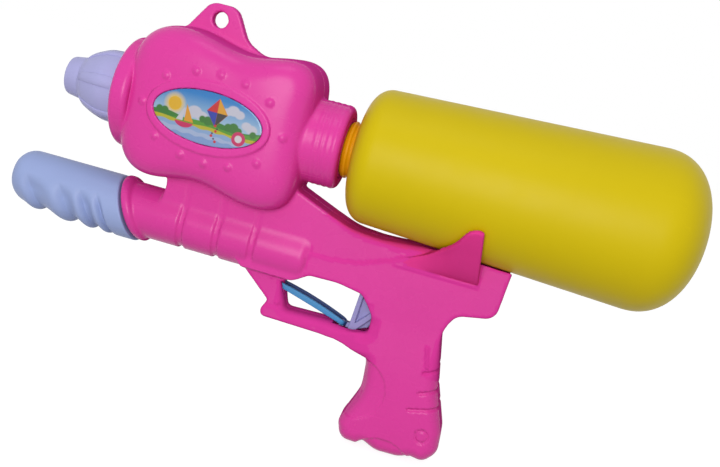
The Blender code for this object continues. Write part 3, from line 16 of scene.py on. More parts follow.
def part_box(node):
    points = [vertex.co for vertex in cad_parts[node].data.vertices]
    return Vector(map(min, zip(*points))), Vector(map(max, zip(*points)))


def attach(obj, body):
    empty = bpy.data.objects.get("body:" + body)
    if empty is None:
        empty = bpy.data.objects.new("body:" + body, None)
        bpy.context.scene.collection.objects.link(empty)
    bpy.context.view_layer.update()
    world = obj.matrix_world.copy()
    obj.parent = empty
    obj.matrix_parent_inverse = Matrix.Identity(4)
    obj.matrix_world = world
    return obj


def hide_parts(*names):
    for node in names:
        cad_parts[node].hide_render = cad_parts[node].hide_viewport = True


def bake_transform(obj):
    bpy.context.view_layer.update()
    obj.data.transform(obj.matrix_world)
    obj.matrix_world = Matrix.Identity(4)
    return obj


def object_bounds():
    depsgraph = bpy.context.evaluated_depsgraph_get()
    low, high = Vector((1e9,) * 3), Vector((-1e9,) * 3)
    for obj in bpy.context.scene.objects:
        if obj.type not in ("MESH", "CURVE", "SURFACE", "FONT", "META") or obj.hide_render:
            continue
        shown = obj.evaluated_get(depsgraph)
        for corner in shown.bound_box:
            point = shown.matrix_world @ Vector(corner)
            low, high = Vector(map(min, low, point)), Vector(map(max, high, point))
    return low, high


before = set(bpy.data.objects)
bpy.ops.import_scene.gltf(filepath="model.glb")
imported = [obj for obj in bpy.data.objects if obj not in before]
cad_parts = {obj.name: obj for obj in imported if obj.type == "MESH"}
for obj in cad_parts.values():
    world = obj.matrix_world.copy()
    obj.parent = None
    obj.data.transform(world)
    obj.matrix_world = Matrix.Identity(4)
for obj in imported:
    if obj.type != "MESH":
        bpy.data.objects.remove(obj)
cad_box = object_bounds()

# %% [markdown]
# ## Camera
# The toy was seen from its left side, a little from above and from behind its middle, and turned
# clockwise in the picture. A camera is easiest to place as a direction, a distance and a roll about
# its own line of sight, so those are the numbers here.

# %% Camera
VIEW_TARGET = Vector((-0.044, 0.0, 0.085))
VIEW_AZIMUTH = radians(6.5)
VIEW_ELEVATION = radians(12.0)
VIEW_ROLL = radians(14.3)
VIEW_DISTANCE = 0.476
VIEW_LENS = 42.5

behind = Vector((sin(VIEW_AZIMUTH) * cos(VIEW_ELEVATION), -cos(VIEW_AZIMUTH) * cos(VIEW_ELEVATION),
                 sin(VIEW_ELEVATION)))
level = Vector((cos(VIEW_AZIMUTH), sin(VIEW_AZIMUTH), 0.0))
upright = behind.cross(level)
across = cos(VIEW_ROLL) * level + sin(VIEW_ROLL) * upright
above = cos(VIEW_ROLL) * upright - sin(VIEW_ROLL) * level
camera_data = bpy.data.cameras.new("camera")
camera_data.lens = VIEW_LENS
camera_data.sensor_width = 36.0
camera_data.sensor_fit = "HORIZONTAL"
camera_data.clip_start = 0.02
camera = bpy.data.objects.new("camera", camera_data)
bpy.context.scene.collection.objects.link(camera)
turn = Matrix((across, above, behind)).transposed().to_4x4()
camera.matrix_world = Matrix.Translation(VIEW_TARGET + behind * VIEW_DISTANCE) @ turn
bpy.context.scene.camera = camera
print("camera at", [round(v, 3) for v in camera.matrix_world.translation])

# %% [markdown]
# ## Driving sizes
# The looks follow the CAD, so its sizes are repeated here under the same kind of names, in metres.

# %% Sizes shared with the CAD
SHELL_WALL = 0.0022
SEAT_GAP = 0.0003
PARTING_GAP = 0.0003
TANK_CLEARANCE = 0.0006
RUN_IN = 0.004
TANK_AXIS_Z = 0.129
PUMP_AXIS_Z = 0.064
BUBBLE_REAR_X = -0.0814
BUBBLE_HALF_LENGTH = 0.0523
BUBBLE_HALF_HEIGHT = 0.0456
BUBBLE_HALF_DEPTH = 0.031
BUBBLE_CENTRE_X = BUBBLE_REAR_X - BUBBLE_HALF_LENGTH
BUBBLE_FRONT_X = BUBBLE_CENTRE_X - BUBBLE_HALF_LENGTH
RING_FRONT_X = BUBBLE_FRONT_X - 0.0045
COLLAR_RADIUS = 0.0233
COLLAR_REAR_X = BUBBLE_REAR_X + 0.0185
SHOULDER_X = COLLAR_REAR_X + 0.0026
NECK_FRONT_X = COLLAR_REAR_X - 0.0155
NECK_RADIUS = 0.0143
WASHER_X = NECK_FRONT_X - 0.0021
HEAD_INNER_X = WASHER_X - SEAT_GAP
HEAD_FRONT_X = HEAD_INNER_X - 0.0030
HEAD_RADIUS = NECK_RADIUS + 0.0023
TUBE_RADIUS = 0.0152
TUBE_BORE = TUBE_RADIUS - SHELL_WALL
TUBE_END_X = BUBBLE_REAR_X - 0.0006
LIP_CENTRE_X = BUBBLE_FRONT_X + 0.0094
LIP_RADIUS = 0.0174
LIP_WIDTH = 0.0058
LIP_RAKE = radians(23.6)
HANDLE_RADIUS = 0.0166
HANDLE_LENGTH = 0.0730
HANDLE_REAR_X = LIP_CENTRE_X - 0.0008 / cos(LIP_RAKE)
HANDLE_TIP_X = HANDLE_REAR_X - HANDLE_LENGTH
WEB_HALF_DEPTH = 0.0118
BODY_HALF_DEPTH = 0.0126
GRIP_HALF_DEPTH = 0.0140
FRAME_REAR_X = 0.0425
FRAME_TOP_Z = 0.0925
GUARD_TOP_Z = 0.0570
GUARD_BAR_TOP_Z = 0.0308
GUARD_BAR_BOTTOM_Z = 0.0250
GUARD_FRONT_X = -0.0875
GUARD_REAR_X = -0.0250
PIVOT_X = -0.0240
PIVOT_Z = 0.0730
BAND_FRONT = (-0.0866, 0.0460)
BAND_REAR = (-0.0385, 0.0322)
NOZZLE_BASE_X = RING_FRONT_X - SEAT_GAP
NOZZLE_TIP_X = NOZZLE_BASE_X - 0.0360
PAD_FACE_Y = BUBBLE_HALF_DEPTH + 0.0006
LABEL_HALF_LENGTH = 0.0302
LABEL_HALF_HEIGHT = 0.0140
print("tank axis z", TANK_AXIS_Z, "pump axis z", PUMP_AXIS_Z)

# %% [markdown]
# ## Distance fields
# The pink housing is one soft moulding: every corner is rounded and every branch runs into the next
# with a fillet. Bevels on cut-up meshes break at such joints. A distance field does not: each form is
# a function that says how far a point is from its surface, `smooth_min` joins two forms with a
# fillet, and `smooth_max` cuts one with a rounded edge. A net of quads is then drawn where the field
# is zero.

# %% Distance helpers
def smooth_min(a, b, fillet):
    """Smaller of two distances, with a fillet where the two forms meet."""
    near = np.maximum(1.0 - np.abs(a - b) / fillet, 0.0)
    return np.minimum(a, b) - near * near * (0.25 * fillet)


def smooth_max(a, b, rounding):
    """Larger of two distances, with a rounded edge where one form cuts the other."""
    return -smooth_min(-a, -b, rounding)


def ramp(value, low, high):
    """0 below low, 1 above high, soft in between."""
    t = np.clip((value - low) / (high - low), 0.0, 1.0)
    return t * t * (3.0 - 2.0 * t)


def plate_field(outline_distance, across_y, half_depth, rim):
    """Flat plate about the parting plane with a round rim."""
    p = outline_distance + rim
    q = across_y - half_depth + rim
    corner = np.hypot(np.maximum(p, 0.0), np.maximum(q, 0.0))
    return np.minimum(np.maximum(p, q), 0.0) + corner - rim


def turned_field(x, radius_here, front, rear, radius, rim):
    """Short turned cylinder along X with round rims."""
    half = 0.5 * (rear - front)
    return plate_field(np.abs(x - 0.5 * (front + rear)) - half, radius_here, radius, rim)


def box_field(x, y, z, x0, x1, y0, y1, z0, z1):
    sides = [np.maximum(lo - v, v - hi) for v, lo, hi in ((x, x0, x1), (y, y0, y1), (z, z0, z1))]
    return np.maximum(np.maximum(sides[0], sides[1]), sides[2])


print("two faces 1 mm away, joined with a 2 mm fillet:", smooth_min(0.001, 0.001, 0.002))

# %% [markdown]
# Side views are drawn as closed outlines. A corner is a point with a radius, as on a drawing, and the
# round stretch is worked out, so an outline holds only the points that its shape needs. Hoses and soft
# edges follow a route instead: a few points with a smooth curve through them.

# %% Outlines and routes
ARC_ERROR = 0.00001


def rounded_outline(corners):
    """Closed outline from (x, z, corner radius) points."""
    points = []
    for i, (x, z, radius) in enumerate(corners):
        here = Vector((x, z))
        back = (Vector(corners[i - 1][:2]) - here).normalized()
        ahead = (Vector(corners[(i + 1) % len(corners)][:2]) - here).normalized()
        opening = back.angle(ahead)
        if radius == 0.0 or opening > pi - 0.01:
            points.append((x, z))
            continue
        run = radius / tan(0.5 * opening)
        centre = here + (back + ahead).normalized() * radius / sin(0.5 * opening)
        start = here + back * run - centre
        sweep = start.angle_signed(here + ahead * run - centre)
        steps = max(2, int(abs(sweep) / (2.0 * acos(1.0 - ARC_ERROR / radius))) + 1)
        for k in range(steps + 1):
            points.append(tuple(centre + Matrix.Rotation(-sweep * k / steps, 2) @ start))
    return points


def outline_field(px, pz, outline):
    """Distance to a closed outline, below zero inside."""
    px, pz = np.broadcast_arrays(px, pz)
    best = np.full(px.shape, 1e3)
    inside = np.zeros(px.shape, bool)
    for (x0, z0), (x1, z1) in zip(outline, outline[1:] + outline[:1]):
        dx, dz = x1 - x0, z1 - z0
        size = dx * dx + dz * dz
        if size < 1e-16:
            continue
        rx, rz = px - x0, pz - z0
        t = np.clip((rx * dx + rz * dz) / size, 0.0, 1.0)
        best = np.minimum(best, (rx - t * dx) ** 2 + (rz - t * dz) ** 2)
        if dz != 0.0:
            inside ^= ((z0 > pz) != (z1 > pz)) & (rx < rz * dx / dz)
    return np.where(inside, -1.0, 1.0) * np.sqrt(best)


def smooth_route(points, spacing):
    """Points along a smooth curve through a route's own points."""
    route = [Vector(point) for point in points]
    padded = [2.0 * route[0] - route[1], *route, 2.0 * route[-1] - route[-2]]
    made = []
    for a, b, c, d in zip(padded, padded[1:], padded[2:], padded[3:]):
        steps = max(1, round((c - b).length / spacing))
        for k in range(steps):
            t = k / steps
            pull = (2.0 * b) + (c - a) * t + (2.0 * a - 5.0 * b + 4.0 * c - d) * t * t
            made.append(0.5 * (pull + (3.0 * b - a - 3.0 * c + d) * t ** 3))
    made.append(route[-1])
    return made


SQUARE = [(0.0, 0.0, 0.003), (0.0, 0.01, 0.003), (0.01, 0.01, 0.003), (0.01, 0.0, 0.003)]
print("a square with round corners has", len(rounded_outline(SQUARE)), "points")

# %% [markdown]
# A net over the field: every grid cell that the surface crosses gets one point, at the mean of the
# crossings on its edges, and every grid edge that the surface crosses gets one quad between the four
# cells around it. Each point is then drawn onto the surface along the slope of the field, and the
# slope gives it a clean normal, so that a net of one millimetre shades as smoothly as a moulding.

# %% Net over a field
SLOPE_STEP = 0.0002
DRAW_SHARE = 0.4
CELL_CORNERS = [(i, j, k) for i in (0, 1) for j in (0, 1) for k in (0, 1)]


def slope_at(field, points):
    """Direction in which the field grows fastest at each point."""
    slope = np.zeros(points.shape)
    for axis in range(3):
        shift = np.zeros(3)
        shift[axis] = SLOPE_STEP
        slope[:, axis] = field(*(points + shift).T) - field(*(points - shift).T)
    return slope / np.maximum(np.linalg.norm(slope, axis=1), 1e-9)[:, None]


def cell_points(values, cells):
    """Mean of the crossings on each cell's edges, in cells."""
    total = np.zeros(cells.shape)
    hits = np.zeros(len(cells))
    for corner in CELL_CORNERS:
        for axis in range(3):
            if corner[axis]:
                continue
            first = cells + corner
            second = first.copy()
            second[:, axis] += 1
            f0 = values[tuple(first.T)].astype(float)
            f1 = values[tuple(second.T)].astype(float)
            cut = (f0 < 0.0) != (f1 < 0.0)
            place = np.tile(np.array(corner, float), (len(cells), 1))
            place[:, axis] = f0 / np.where(cut, f0 - f1, 1.0)
            total[cut] += place[cut]
            hits[cut] += 1.0
    return total / hits[:, None]


def cell_quads(inside, ids):
    """One quad for every grid edge that the surface crosses, facing outwards."""
    quads = []
    for axis in range(3):
        b, c = (axis + 1) % 3, (axis + 2) % 3
        here = [slice(None)] * 3
        there = [slice(None)] * 3
        here[axis], there[axis] = slice(None, -1), slice(1, None)
        edges = np.argwhere(inside[tuple(here)] != inside[tuple(there)])
        ring = []
        for shift_b, shift_c in ((-1, -1), (0, -1), (0, 0), (-1, 0)):
            cell = edges.copy()
            cell[:, b] += shift_b
            cell[:, c] += shift_c
            ring.append(ids[tuple(cell.T)])
        ring = np.stack(ring, 1)
        quads.append(np.where(inside[tuple(edges.T)][:, None], ring, ring[:, ::-1]))
    return np.concatenate(quads)


def net_mesh(name, field, low, high, step):
    """Mesh where the field is zero, and the normal at each of its points."""
    axes = [np.arange(low[i] - 1.5 * step, high[i] + 2.0 * step, step) for i in range(3)]
    shape = tuple(len(axis) for axis in axes)
    values = field(axes[0][:, None, None], axes[1][None, :, None], axes[2][None, None, :])
    values = np.ascontiguousarray(np.broadcast_to(values, shape), np.float32)
    inside = values < 0.0
    cells = tuple(n - 1 for n in shape)
    count = np.zeros(cells, np.int8)
    for i, j, k in CELL_CORNERS:
        count += inside[i:i + cells[0], j:j + cells[1], k:k + cells[2]]
    crossed = (count > 0) & (count < 8)
    ids = np.full(cells, -1, np.int32)
    ids[crossed] = np.arange(int(crossed.sum()))
    where = np.argwhere(crossed)
    points = np.array([axis[0] for axis in axes]) + step * (where + cell_points(values, where))
    normals = slope_at(field, points)
    points -= normals * np.clip(field(*points.T), -DRAW_SHARE * step, DRAW_SHARE * step)[:, None]
    normals = slope_at(field, points)
    mesh = bpy.data.meshes.new(name)
    mesh.from_pydata(points.tolist(), [], cell_quads(inside, ids).tolist())
    print(name, "valid:", not mesh.validate())
    mesh.shade_smooth()
    return mesh, normals


print("net: each point is drawn by up to", DRAW_SHARE, "of a cell")

# %% [markdown]
# Every visible piece is put on the body it rides on, in place of the CAD nodes that it stands for.

# %% Pieces
def add_piece(name, mesh, material, body, slot, *nodes):
    """Put a finished mesh into the scene, on its body, in place of its CAD nodes."""
    piece = bpy.data.objects.new(name, mesh)
    bpy.context.scene.collection.objects.link(piece)
    mesh.materials.clear()
    mesh.materials.append(material)
    if body:
        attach(piece, body)
    if nodes:
        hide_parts(*nodes)
    print(name, "faces", len(mesh.polygons))
    return piece


def face_outwards(mesh):
    """Turn all faces so that they look out of a closed mesh."""
    bm = bmesh.new()
    bm.from_mesh(mesh)
    bmesh.ops.recalc_face_normals(bm, faces=bm.faces)
    bm.to_mesh(mesh)
    bm.free()

# %% [markdown]
# ## Nodes
# Node trees hold sums: a turn times a radius, a colour plus a drift. Written node by node they are hard
# to read. A `Wire` stands for the value at a node's output, and plus, minus and times between wires add
# the Math nodes.

# %% Node helpers
class Wire:
    """The value at a node's output."""

    def __init__(self, tree, socket):
        self.tree, self.socket = tree, socket

    def of(self, operation, other=0.0):
        return math_of(self.tree, operation, self, other)

    def __add__(self, other):
        return self.of("ADD", other)

    def __sub__(self, other):
        return self.of("SUBTRACT", other)

    def __rsub__(self, other):
        return math_of(self.tree, "SUBTRACT", other, self)

    def __mul__(self, other):
        return self.of("MULTIPLY", other)

    def __truediv__(self, other):
        return self.of("DIVIDE", other)

    def __rtruediv__(self, other):
        return math_of(self.tree, "DIVIDE", other, self)


def feed(value, socket):
    """Link a wire to a socket, or set the socket to a plain value."""
    if isinstance(value, Wire):
        value.tree.links.new(value.socket, socket)
    else:
        socket.default_value = value


def put(tree, kind, inputs=None, **settings):
    """Add a node and set it up."""
    made = tree.nodes.new(kind)
    for key, value in settings.items():
        setattr(made, key, value)
    for key, value in (inputs or {}).items():
        feed(value, made.inputs[key])
    return made


def wire(tree, kind, inputs=None, output=0, **settings):
    """Add a node and give back one of its outputs."""
    return Wire(tree, put(tree, kind, inputs, **settings).outputs[output])


def math_of(tree, operation, a, b):
    return wire(tree, "ShaderNodeMath", {0: a, 1: b}, operation=operation)


def parts(vector):
    """X, Y and Z of a vector."""
    made = put(vector.tree, "ShaderNodeSeparateXYZ", {0: vector})
    return [Wire(vector.tree, socket) for socket in made.outputs]


def vector_of(tree, x=0.0, y=0.0, z=0.0):
    return wire(tree, "ShaderNodeCombineXYZ", {0: x, 1: y, 2: z})


def mix_colour(tree, share, first, second):
    return wire(tree, "ShaderNodeMix", {0: share, 6: first, 7: second}, 2, data_type="RGBA")


print("node helpers ready")

# %% [markdown]
# ## Geometry Nodes
# Turned pieces, hoses, the rubber band, screws and nozzle ribs follow a rule: a profile round an axis,
# a section along a path, one shape in many places. Geometry Nodes say such a rule once, with named
# sizes. `run_tree` gives a tree its sizes and keeps the result as a plain mesh.

# %% Geometry Nodes helpers
def new_tree(name, sizes):
    """Tree with a mesh and named sizes as inputs, and those inputs as wires."""
    tree = bpy.data.node_groups.new(name, "GeometryNodeTree")
    inputs = {"Geometry": "Geometry", **sizes}
    for label, kind in inputs.items():
        tree.interface.new_socket(label, in_out="INPUT", socket_type="NodeSocket" + kind)
    tree.interface.new_socket("Geometry", in_out="OUTPUT", socket_type="NodeSocketGeometry")
    given = tree.nodes.new("NodeGroupInput").outputs
    return tree, {label: Wire(tree, given[label]) for label in inputs}


def end_tree(tree, geometry, material):
    real = wire(tree, "GeometryNodeRealizeInstances", {0: geometry})
    done = wire(tree, "GeometryNodeSetMaterial", {"Geometry": real, "Material": material})
    feed(done, tree.nodes.new("NodeGroupOutput").inputs[0])


def run_tree(name, tree, mesh, sizes):
    holder = bpy.data.objects.new(name, mesh)
    bpy.context.scene.collection.objects.link(holder)
    modifier = holder.modifiers.new("rule", "NODES")
    modifier.node_group = tree
    for item in tree.interface.items_tree:
        if item.in_out == "INPUT" and item.name in sizes:
            modifier[item.identifier] = sizes[item.name]
    graph = bpy.context.evaluated_depsgraph_get()
    made = bpy.data.meshes.new_from_object(holder.evaluated_get(graph))
    made.name = name
    bpy.data.objects.remove(holder)
    face_outwards(made)
    made.shade_smooth()
    return made


def line_mesh(name, points, closed=False):
    """Mesh of edges only, from point to point."""
    edges = [(i, i + 1) for i in range(len(points) - 1)]
    mesh = bpy.data.meshes.new(name)
    mesh.from_pydata([tuple(p) for p in points], edges + ([(len(points) - 1, 0)] if closed else []), [])
    return mesh


print("a rule ends in Realize Instances and Set Material")

# %% [markdown]
# A turned piece could be made with the Screw modifier. This tree takes a flat grid instead, with one
# column for each point of the profile and one row for each step round the axis, and rolls it up.

# %% Turned pieces
turned_tree, size = new_tree("turned_piece", {
    "Sides": "Int", "Axis height": "Float", "Material": "Material"})
count = wire(turned_tree, "GeometryNodeAttributeDomainSize", {0: size["Geometry"]}, "Point Count",
             component="MESH")
grid = wire(turned_tree, "GeometryNodeMeshGrid", {
    "Size X": 1.0, "Size Y": 1.0, "Vertices X": count, "Vertices Y": size["Sides"] + 1.0})
position = wire(turned_tree, "GeometryNodeInputPosition")
column, row, _ = parts(position)
turn_by = (row + 0.5) * (2.0 * pi)
knot = wire(turned_tree, "GeometryNodeSampleIndex", {
    "Geometry": size["Geometry"], "Value": position,
    "Index": ((column + 0.5) * (count - 1.0)).of("ROUND")}, data_type="FLOAT_VECTOR")
knot_x, _, knot_radius = parts(knot)
spun = vector_of(turned_tree, knot_x, knot_radius * turn_by.of("SINE"),
                 knot_radius * turn_by.of("COSINE") + size["Axis height"])
spun = wire(turned_tree, "GeometryNodeSetPosition", {"Geometry": grid, "Position": spun})
spun = wire(turned_tree, "GeometryNodeMergeByDistance", {"Geometry": spun, "Distance": 1e-6})
end_tree(turned_tree, spun, size["Material"])


def turned_mesh(name, profile, axis_height, sides, material):
    """Spin (x, radius) points about the axis at a height."""
    mesh = line_mesh(name + "_profile", [(x, 0.0, radius) for x, radius in profile])
    return run_tree(name, turned_tree, mesh, {
        "Sides": sides, "Axis height": axis_height, "Material": material})


print("turned piece:", len(turned_tree.nodes), "nodes")

# %% [markdown]
# A hose or a band is one section carried along a path. A curve with a bevel could do that too; the tree
# also reads a share at every point of the path, so that a hose can be pinched and a band can swell.

# %% Sections along a path
path_tree, size = new_tree("section_along_path", {
    "Width": "Float", "Height": "Float", "Rounding": "Float", "Material": "Material"})
path = wire(path_tree, "GeometryNodeMeshToCurve", {0: size["Geometry"]})
path = wire(path_tree, "GeometryNodeSetCurveNormal", {"Curve": path}, mode="Z_UP")
section = wire(path_tree, "GeometryNodeCurvePrimitiveQuadrilateral", {
    "Width": size["Width"], "Height": size["Height"]})
section = wire(path_tree, "GeometryNodeFilletCurve", {
    "Curve": section, "Radius": size["Rounding"], "Count": 4}, mode="POLY")
squeeze = wire(path_tree, "GeometryNodeInputNamedAttribute", {"Name": "share"}, data_type="FLOAT")
swept = wire(path_tree, "GeometryNodeCurveToMesh", {
    "Curve": path, "Profile Curve": section, "Scale": squeeze, "Fill Caps": True})
end_tree(path_tree, swept, size["Material"])


def swept_mesh(name, points, section, material, shares, closed=False):
    """Carry a rounded section (width, height, rounding) along a path, thinner or thicker in places."""
    mesh = line_mesh(name + "_path", points, closed)
    share = mesh.attributes.new("share", "FLOAT", "POINT")
    share.data.foreach_set("value", shares)
    return run_tree(name, path_tree, mesh, {
        "Width": section[0], "Height": section[1], "Rounding": section[2], "Material": material})


print("section along a path:", len(path_tree.nodes), "nodes")

# %% [markdown]
# ## Finishes
# All the plastics share one look: a colour that drifts a little over a hand's width, a gloss that is
# never quite even, faint scuffs along the length, and a fine grain from the mould. One node group
# makes these; each material gives it a colour and keeps its own shader. The pattern is laid out on
# Object coordinates, in metres, so a scale of 24 means spots of about 4 cm.

# %% Shared plastic group
PLASTIC_INPUTS = {"Colour": "Color", "Roughness": "Float", "Drift": "Float", "Grain": "Float"}
PLASTIC_OUTPUTS = {"Colour": "Color", "Roughness": "Float", "Height": "Float"}
DRIFT_SCALE, CLOUD_SCALE, GRAIN_SCALE = 24.0, 95.0, 1500.0
SCUFF_STRETCH = (40.0, 700.0, 700.0)
SCUFF_TURN = (0.0, 0.35, 0.2)

plastic = bpy.data.node_groups.new("moulded_plastic", "ShaderNodeTree")
for way, sockets in (("INPUT", PLASTIC_INPUTS), ("OUTPUT", PLASTIC_OUTPUTS)):
    for label, kind in sockets.items():
        plastic.interface.new_socket(label, in_out=way, socket_type="NodeSocket" + kind)
plastic_start = plastic.nodes.new("NodeGroupInput")
given = {label: Wire(plastic, plastic_start.outputs[label]) for label in PLASTIC_INPUTS}


def noise(spot, scale, detail):
    return wire(plastic, "ShaderNodeTexNoise", {"Vector": spot, "Scale": scale, "Detail": detail})


spot = wire(plastic, "ShaderNodeTexCoord", output="Object")
drift = noise(spot, DRIFT_SCALE, 3.0)
cloud = noise(spot, CLOUD_SCALE, 2.0)
grain = noise(spot, GRAIN_SCALE, 2.0)
along = wire(plastic, "ShaderNodeMapping", {"Vector": spot, "Rotation": SCUFF_TURN, "Scale": SCUFF_STRETCH})
scuff = wire(plastic, "ShaderNodeMapRange", {0: noise(along, 1.0, 3.0), 1: 0.62, 2: 0.74})
scuff = scuff * wire(plastic, "ShaderNodeMapRange", {0: drift, 1: 0.45, 2: 0.65})
shade = wire(plastic, "ShaderNodeHueSaturation", {
    "Color": given["Colour"], "Value": (drift - 0.5) * given["Drift"] + 1.0 + scuff * 0.04})
gloss = given["Roughness"] + (cloud - 0.5) * 0.16 + scuff * 0.10
height = grain * given["Grain"] + cloud * 0.6
plastic_end = plastic.nodes.new("NodeGroupOutput")
for label, made in (("Colour", shade), ("Roughness", gloss), ("Height", height)):
    feed(made, plastic_end.inputs[label])
print("plastic group:", len(plastic.nodes), "nodes")

# %% [markdown]
# The pink moulding comes in four finishes. In a white surround every edge that turns away would shine
# pale, and the real housing shows almost none of that, so faces that turn away reflect less. On the
# wings and on the web's top next to the tank the pink is painted warmer: painted bounce light, standing
# in for the yellow light that the tank throws onto the pink there.

# %% Colours and materials
# Colours as linear light
PINK = (0.675, 0.043, 0.318)
# Painted bounce light: a redder pink for the wings and the web's top, where the yellow tank throws its
# light
PAINTED_BOUNCE_PINK = (0.71, 0.043, 0.262)
LILAC = (0.40, 0.40, 0.68)
BLUE_LILAC = (0.31, 0.39, 0.66)
# Painted shade: a darker lilac for the trigger, for the shade that it sits in inside the guard
SHADED_TRIGGER_LILAC = (0.30, 0.29, 0.56)
YELLOW = (0.59, 0.455, 0.003)
# Painted bounce light: orange for the pink light thrown onto the tank's neck inside the collar
NECK_PAINTED_BOUNCE = (0.68, 0.30, 0.002)
BAND_BLUE = (0.045, 0.24, 0.50)
# Painted shade: dark blue for the shaded inside of the band's loop
BAND_PAINTED_SHADE = (0.012, 0.045, 0.17)
NATURAL_WHITE = (0.76, 0.76, 0.72)
RUBBER_BLACK = (0.022, 0.022, 0.024)
HOSE_CLEAR = (0.68, 0.70, 0.69)
ZINC = (0.56, 0.56, 0.55)
GRAIN_HEIGHT = 0.0004


def plastic_finish(name, colour, roughness, drift=0.10, grain=0.25, bump=0.10, **sockets):
    """Material with its own shader and the shared plastic pattern."""
    material = bpy.data.materials.new(name)
    material.use_nodes = True
    tree = material.node_tree
    shader = tree.nodes["Principled BSDF"]
    look = put(tree, "ShaderNodeGroup", {"Colour": (*colour, 1.0), "Roughness": roughness, "Drift": drift,
                                         "Grain": grain}, node_tree=plastic)
    pattern = {label: Wire(tree, look.outputs[label]) for label in PLASTIC_OUTPUTS}
    feed(pattern["Colour"], shader.inputs["Base Color"])
    feed(pattern["Roughness"], shader.inputs["Roughness"])
    lift = wire(tree, "ShaderNodeBump", {
        "Height": pattern["Height"], "Strength": bump, "Distance": GRAIN_HEIGHT})
    feed(lift, shader.inputs["Normal"])
    for label, value in sockets.items():
        shader.inputs[label.replace("_", " ")].default_value = value
    return material


def two_tone(material, axis, low, high, other, shift=0.0):
    """Lay a second colour over a finish where the size of a shifted coordinate falls below a level."""
    tree = material.node_tree
    base = tree.nodes["Principled BSDF"].inputs["Base Color"]
    above_level = Wire(tree, base.links[0].from_socket)
    spot = parts(wire(tree, "ShaderNodeTexCoord", output="Object"))[axis]
    share = wire(tree, "ShaderNodeMapRange", {0: (spot + shift).of("ABSOLUTE"), 1: low, 2: high})
    feed(mix_colour(tree, share, (*other, 1.0), above_level), base)


pink = plastic_finish("pink_moulding", PINK, 0.27, Specular_IOR_Level=0.22)
pink_turning = plastic_finish("pink_moulding_turning", PINK, 0.27, Specular_IOR_Level=0.10)
pink_rim = plastic_finish("pink_moulding_rim", PINK, 0.30, Specular_IOR_Level=0.0)
# Painted bounce light from the tank, with no reflection of its own
pink_painted_bounce = plastic_finish("pink_moulding_painted_bounce", PAINTED_BOUNCE_PINK, 0.30, Specular_IOR_Level=0.0)
lilac = plastic_finish("lilac_moulding", LILAC, 0.40, Specular_IOR_Level=0.2)
blue_lilac = plastic_finish("blue_lilac_moulding", BLUE_LILAC, 0.44, Specular_IOR_Level=0.2)
# The trigger's lilac is darkened as painted shade
trigger_painted_shade = plastic_finish("trigger_moulding_painted_shade", SHADED_TRIGGER_LILAC, 0.42, Specular_IOR_Level=0.2)
yellow = plastic_finish("yellow_blow_moulding", YELLOW, 0.42, drift=0.06, Specular_IOR_Level=0.12)
white_inner = plastic_finish("natural_white_moulding", NATURAL_WHITE, 0.45)
rubber_blue = plastic_finish("blue_rubber", BAND_BLUE, 0.55, drift=0.25, grain=0.6, bump=0.3)
rubber_black = plastic_finish("black_rubber", RUBBER_BLACK, 0.6, drift=0.2, grain=0.6, bump=0.3)
hose_clear = plastic_finish("soft_hose", HOSE_CLEAR, 0.3, drift=0.08)
zinc = plastic_finish("zinc_plate", ZINC, 0.32, drift=0.12, grain=0.5, Metallic=1.0)
print("finishes:", [m.name for m in (pink, lilac, blue_lilac, yellow, rubber_blue, zinc)])

# %% [markdown]
# ## The pink housing
# Two half shells meet on the plane Y = 0. The left half is described once, with |y| for the depth;
# the right half is the same field with screw holes, drawn on the other side. First come the side views
# of its flat forms: the web under the bubble, the frame with the guard, the opening in it, the grip
# and the hanging eye.

# %% Housing outlines
WEB_OUTLINE = rounded_outline([
    (BUBBLE_CENTRE_X - 0.0245, TANK_AXIS_Z - 0.5 * BUBBLE_HALF_HEIGHT, 0.0),
    (BUBBLE_CENTRE_X - 0.0220, PUMP_AXIS_Z + 0.0200, 0.008),
    (BUBBLE_CENTRE_X - 0.0245, PUMP_AXIS_Z + RUN_IN, 0.0),
    (TUBE_END_X, PUMP_AXIS_Z + RUN_IN, 0.0),
    (-0.0400, 0.0620, 0.0),
    (FRAME_REAR_X - RUN_IN, 0.0660, 0.0),
    (FRAME_REAR_X - RUN_IN, FRAME_TOP_Z, 0.0),
    (0.0060, FRAME_TOP_Z, 0.0),
    (-0.0040, 0.0890, 0.010),
    (-0.0180, 0.0878, 0.020),
    (-0.0310, 0.0868, 0.060),
    (-0.0470, 0.0880, 0.040),
    (-0.0600, 0.0924, 0.030),
    (BUBBLE_REAR_X - 0.0005, 0.1010, 0.0),
    (BUBBLE_REAR_X - 0.0300, TANK_AXIS_Z - 0.5 * BUBBLE_HALF_HEIGHT, 0.0),
])
BODY_OUTLINE = rounded_outline([
    (GUARD_FRONT_X - 0.0225, PUMP_AXIS_Z - 0.0080, 0.0),
    (GUARD_FRONT_X + 0.0022, 0.0350, 0.002),
    (GUARD_FRONT_X - 0.0005, 0.0292, 0.002),
    (GUARD_FRONT_X, GUARD_BAR_BOTTOM_Z, 0.003),
    (-0.0400, GUARD_BAR_BOTTOM_Z - 0.0008, 0.030),
    (-0.0215, 0.0185, 0.006),
    (-0.0150, 0.0100, 0.0),
    (0.0100, 0.0300, 0.0),
    (0.0138, 0.0465, 0.008),
    (0.0200, 0.0575, 0.008),
    (FRAME_REAR_X - 0.0022, 0.0616, 0.0075),
    (FRAME_REAR_X, FRAME_TOP_Z, 0.0),
    (0.0060, FRAME_TOP_Z, 0.0),
    (-0.0055, 0.0846, 0.020),
    (-0.0190, 0.0795, 0.040),
    (-0.0390, 0.0718, 0.040),
    (-0.0560, 0.0694, 0.030),
    (-0.0680, 0.0698, 0.0),
    (-0.0850, 0.0660, 0.0),
])
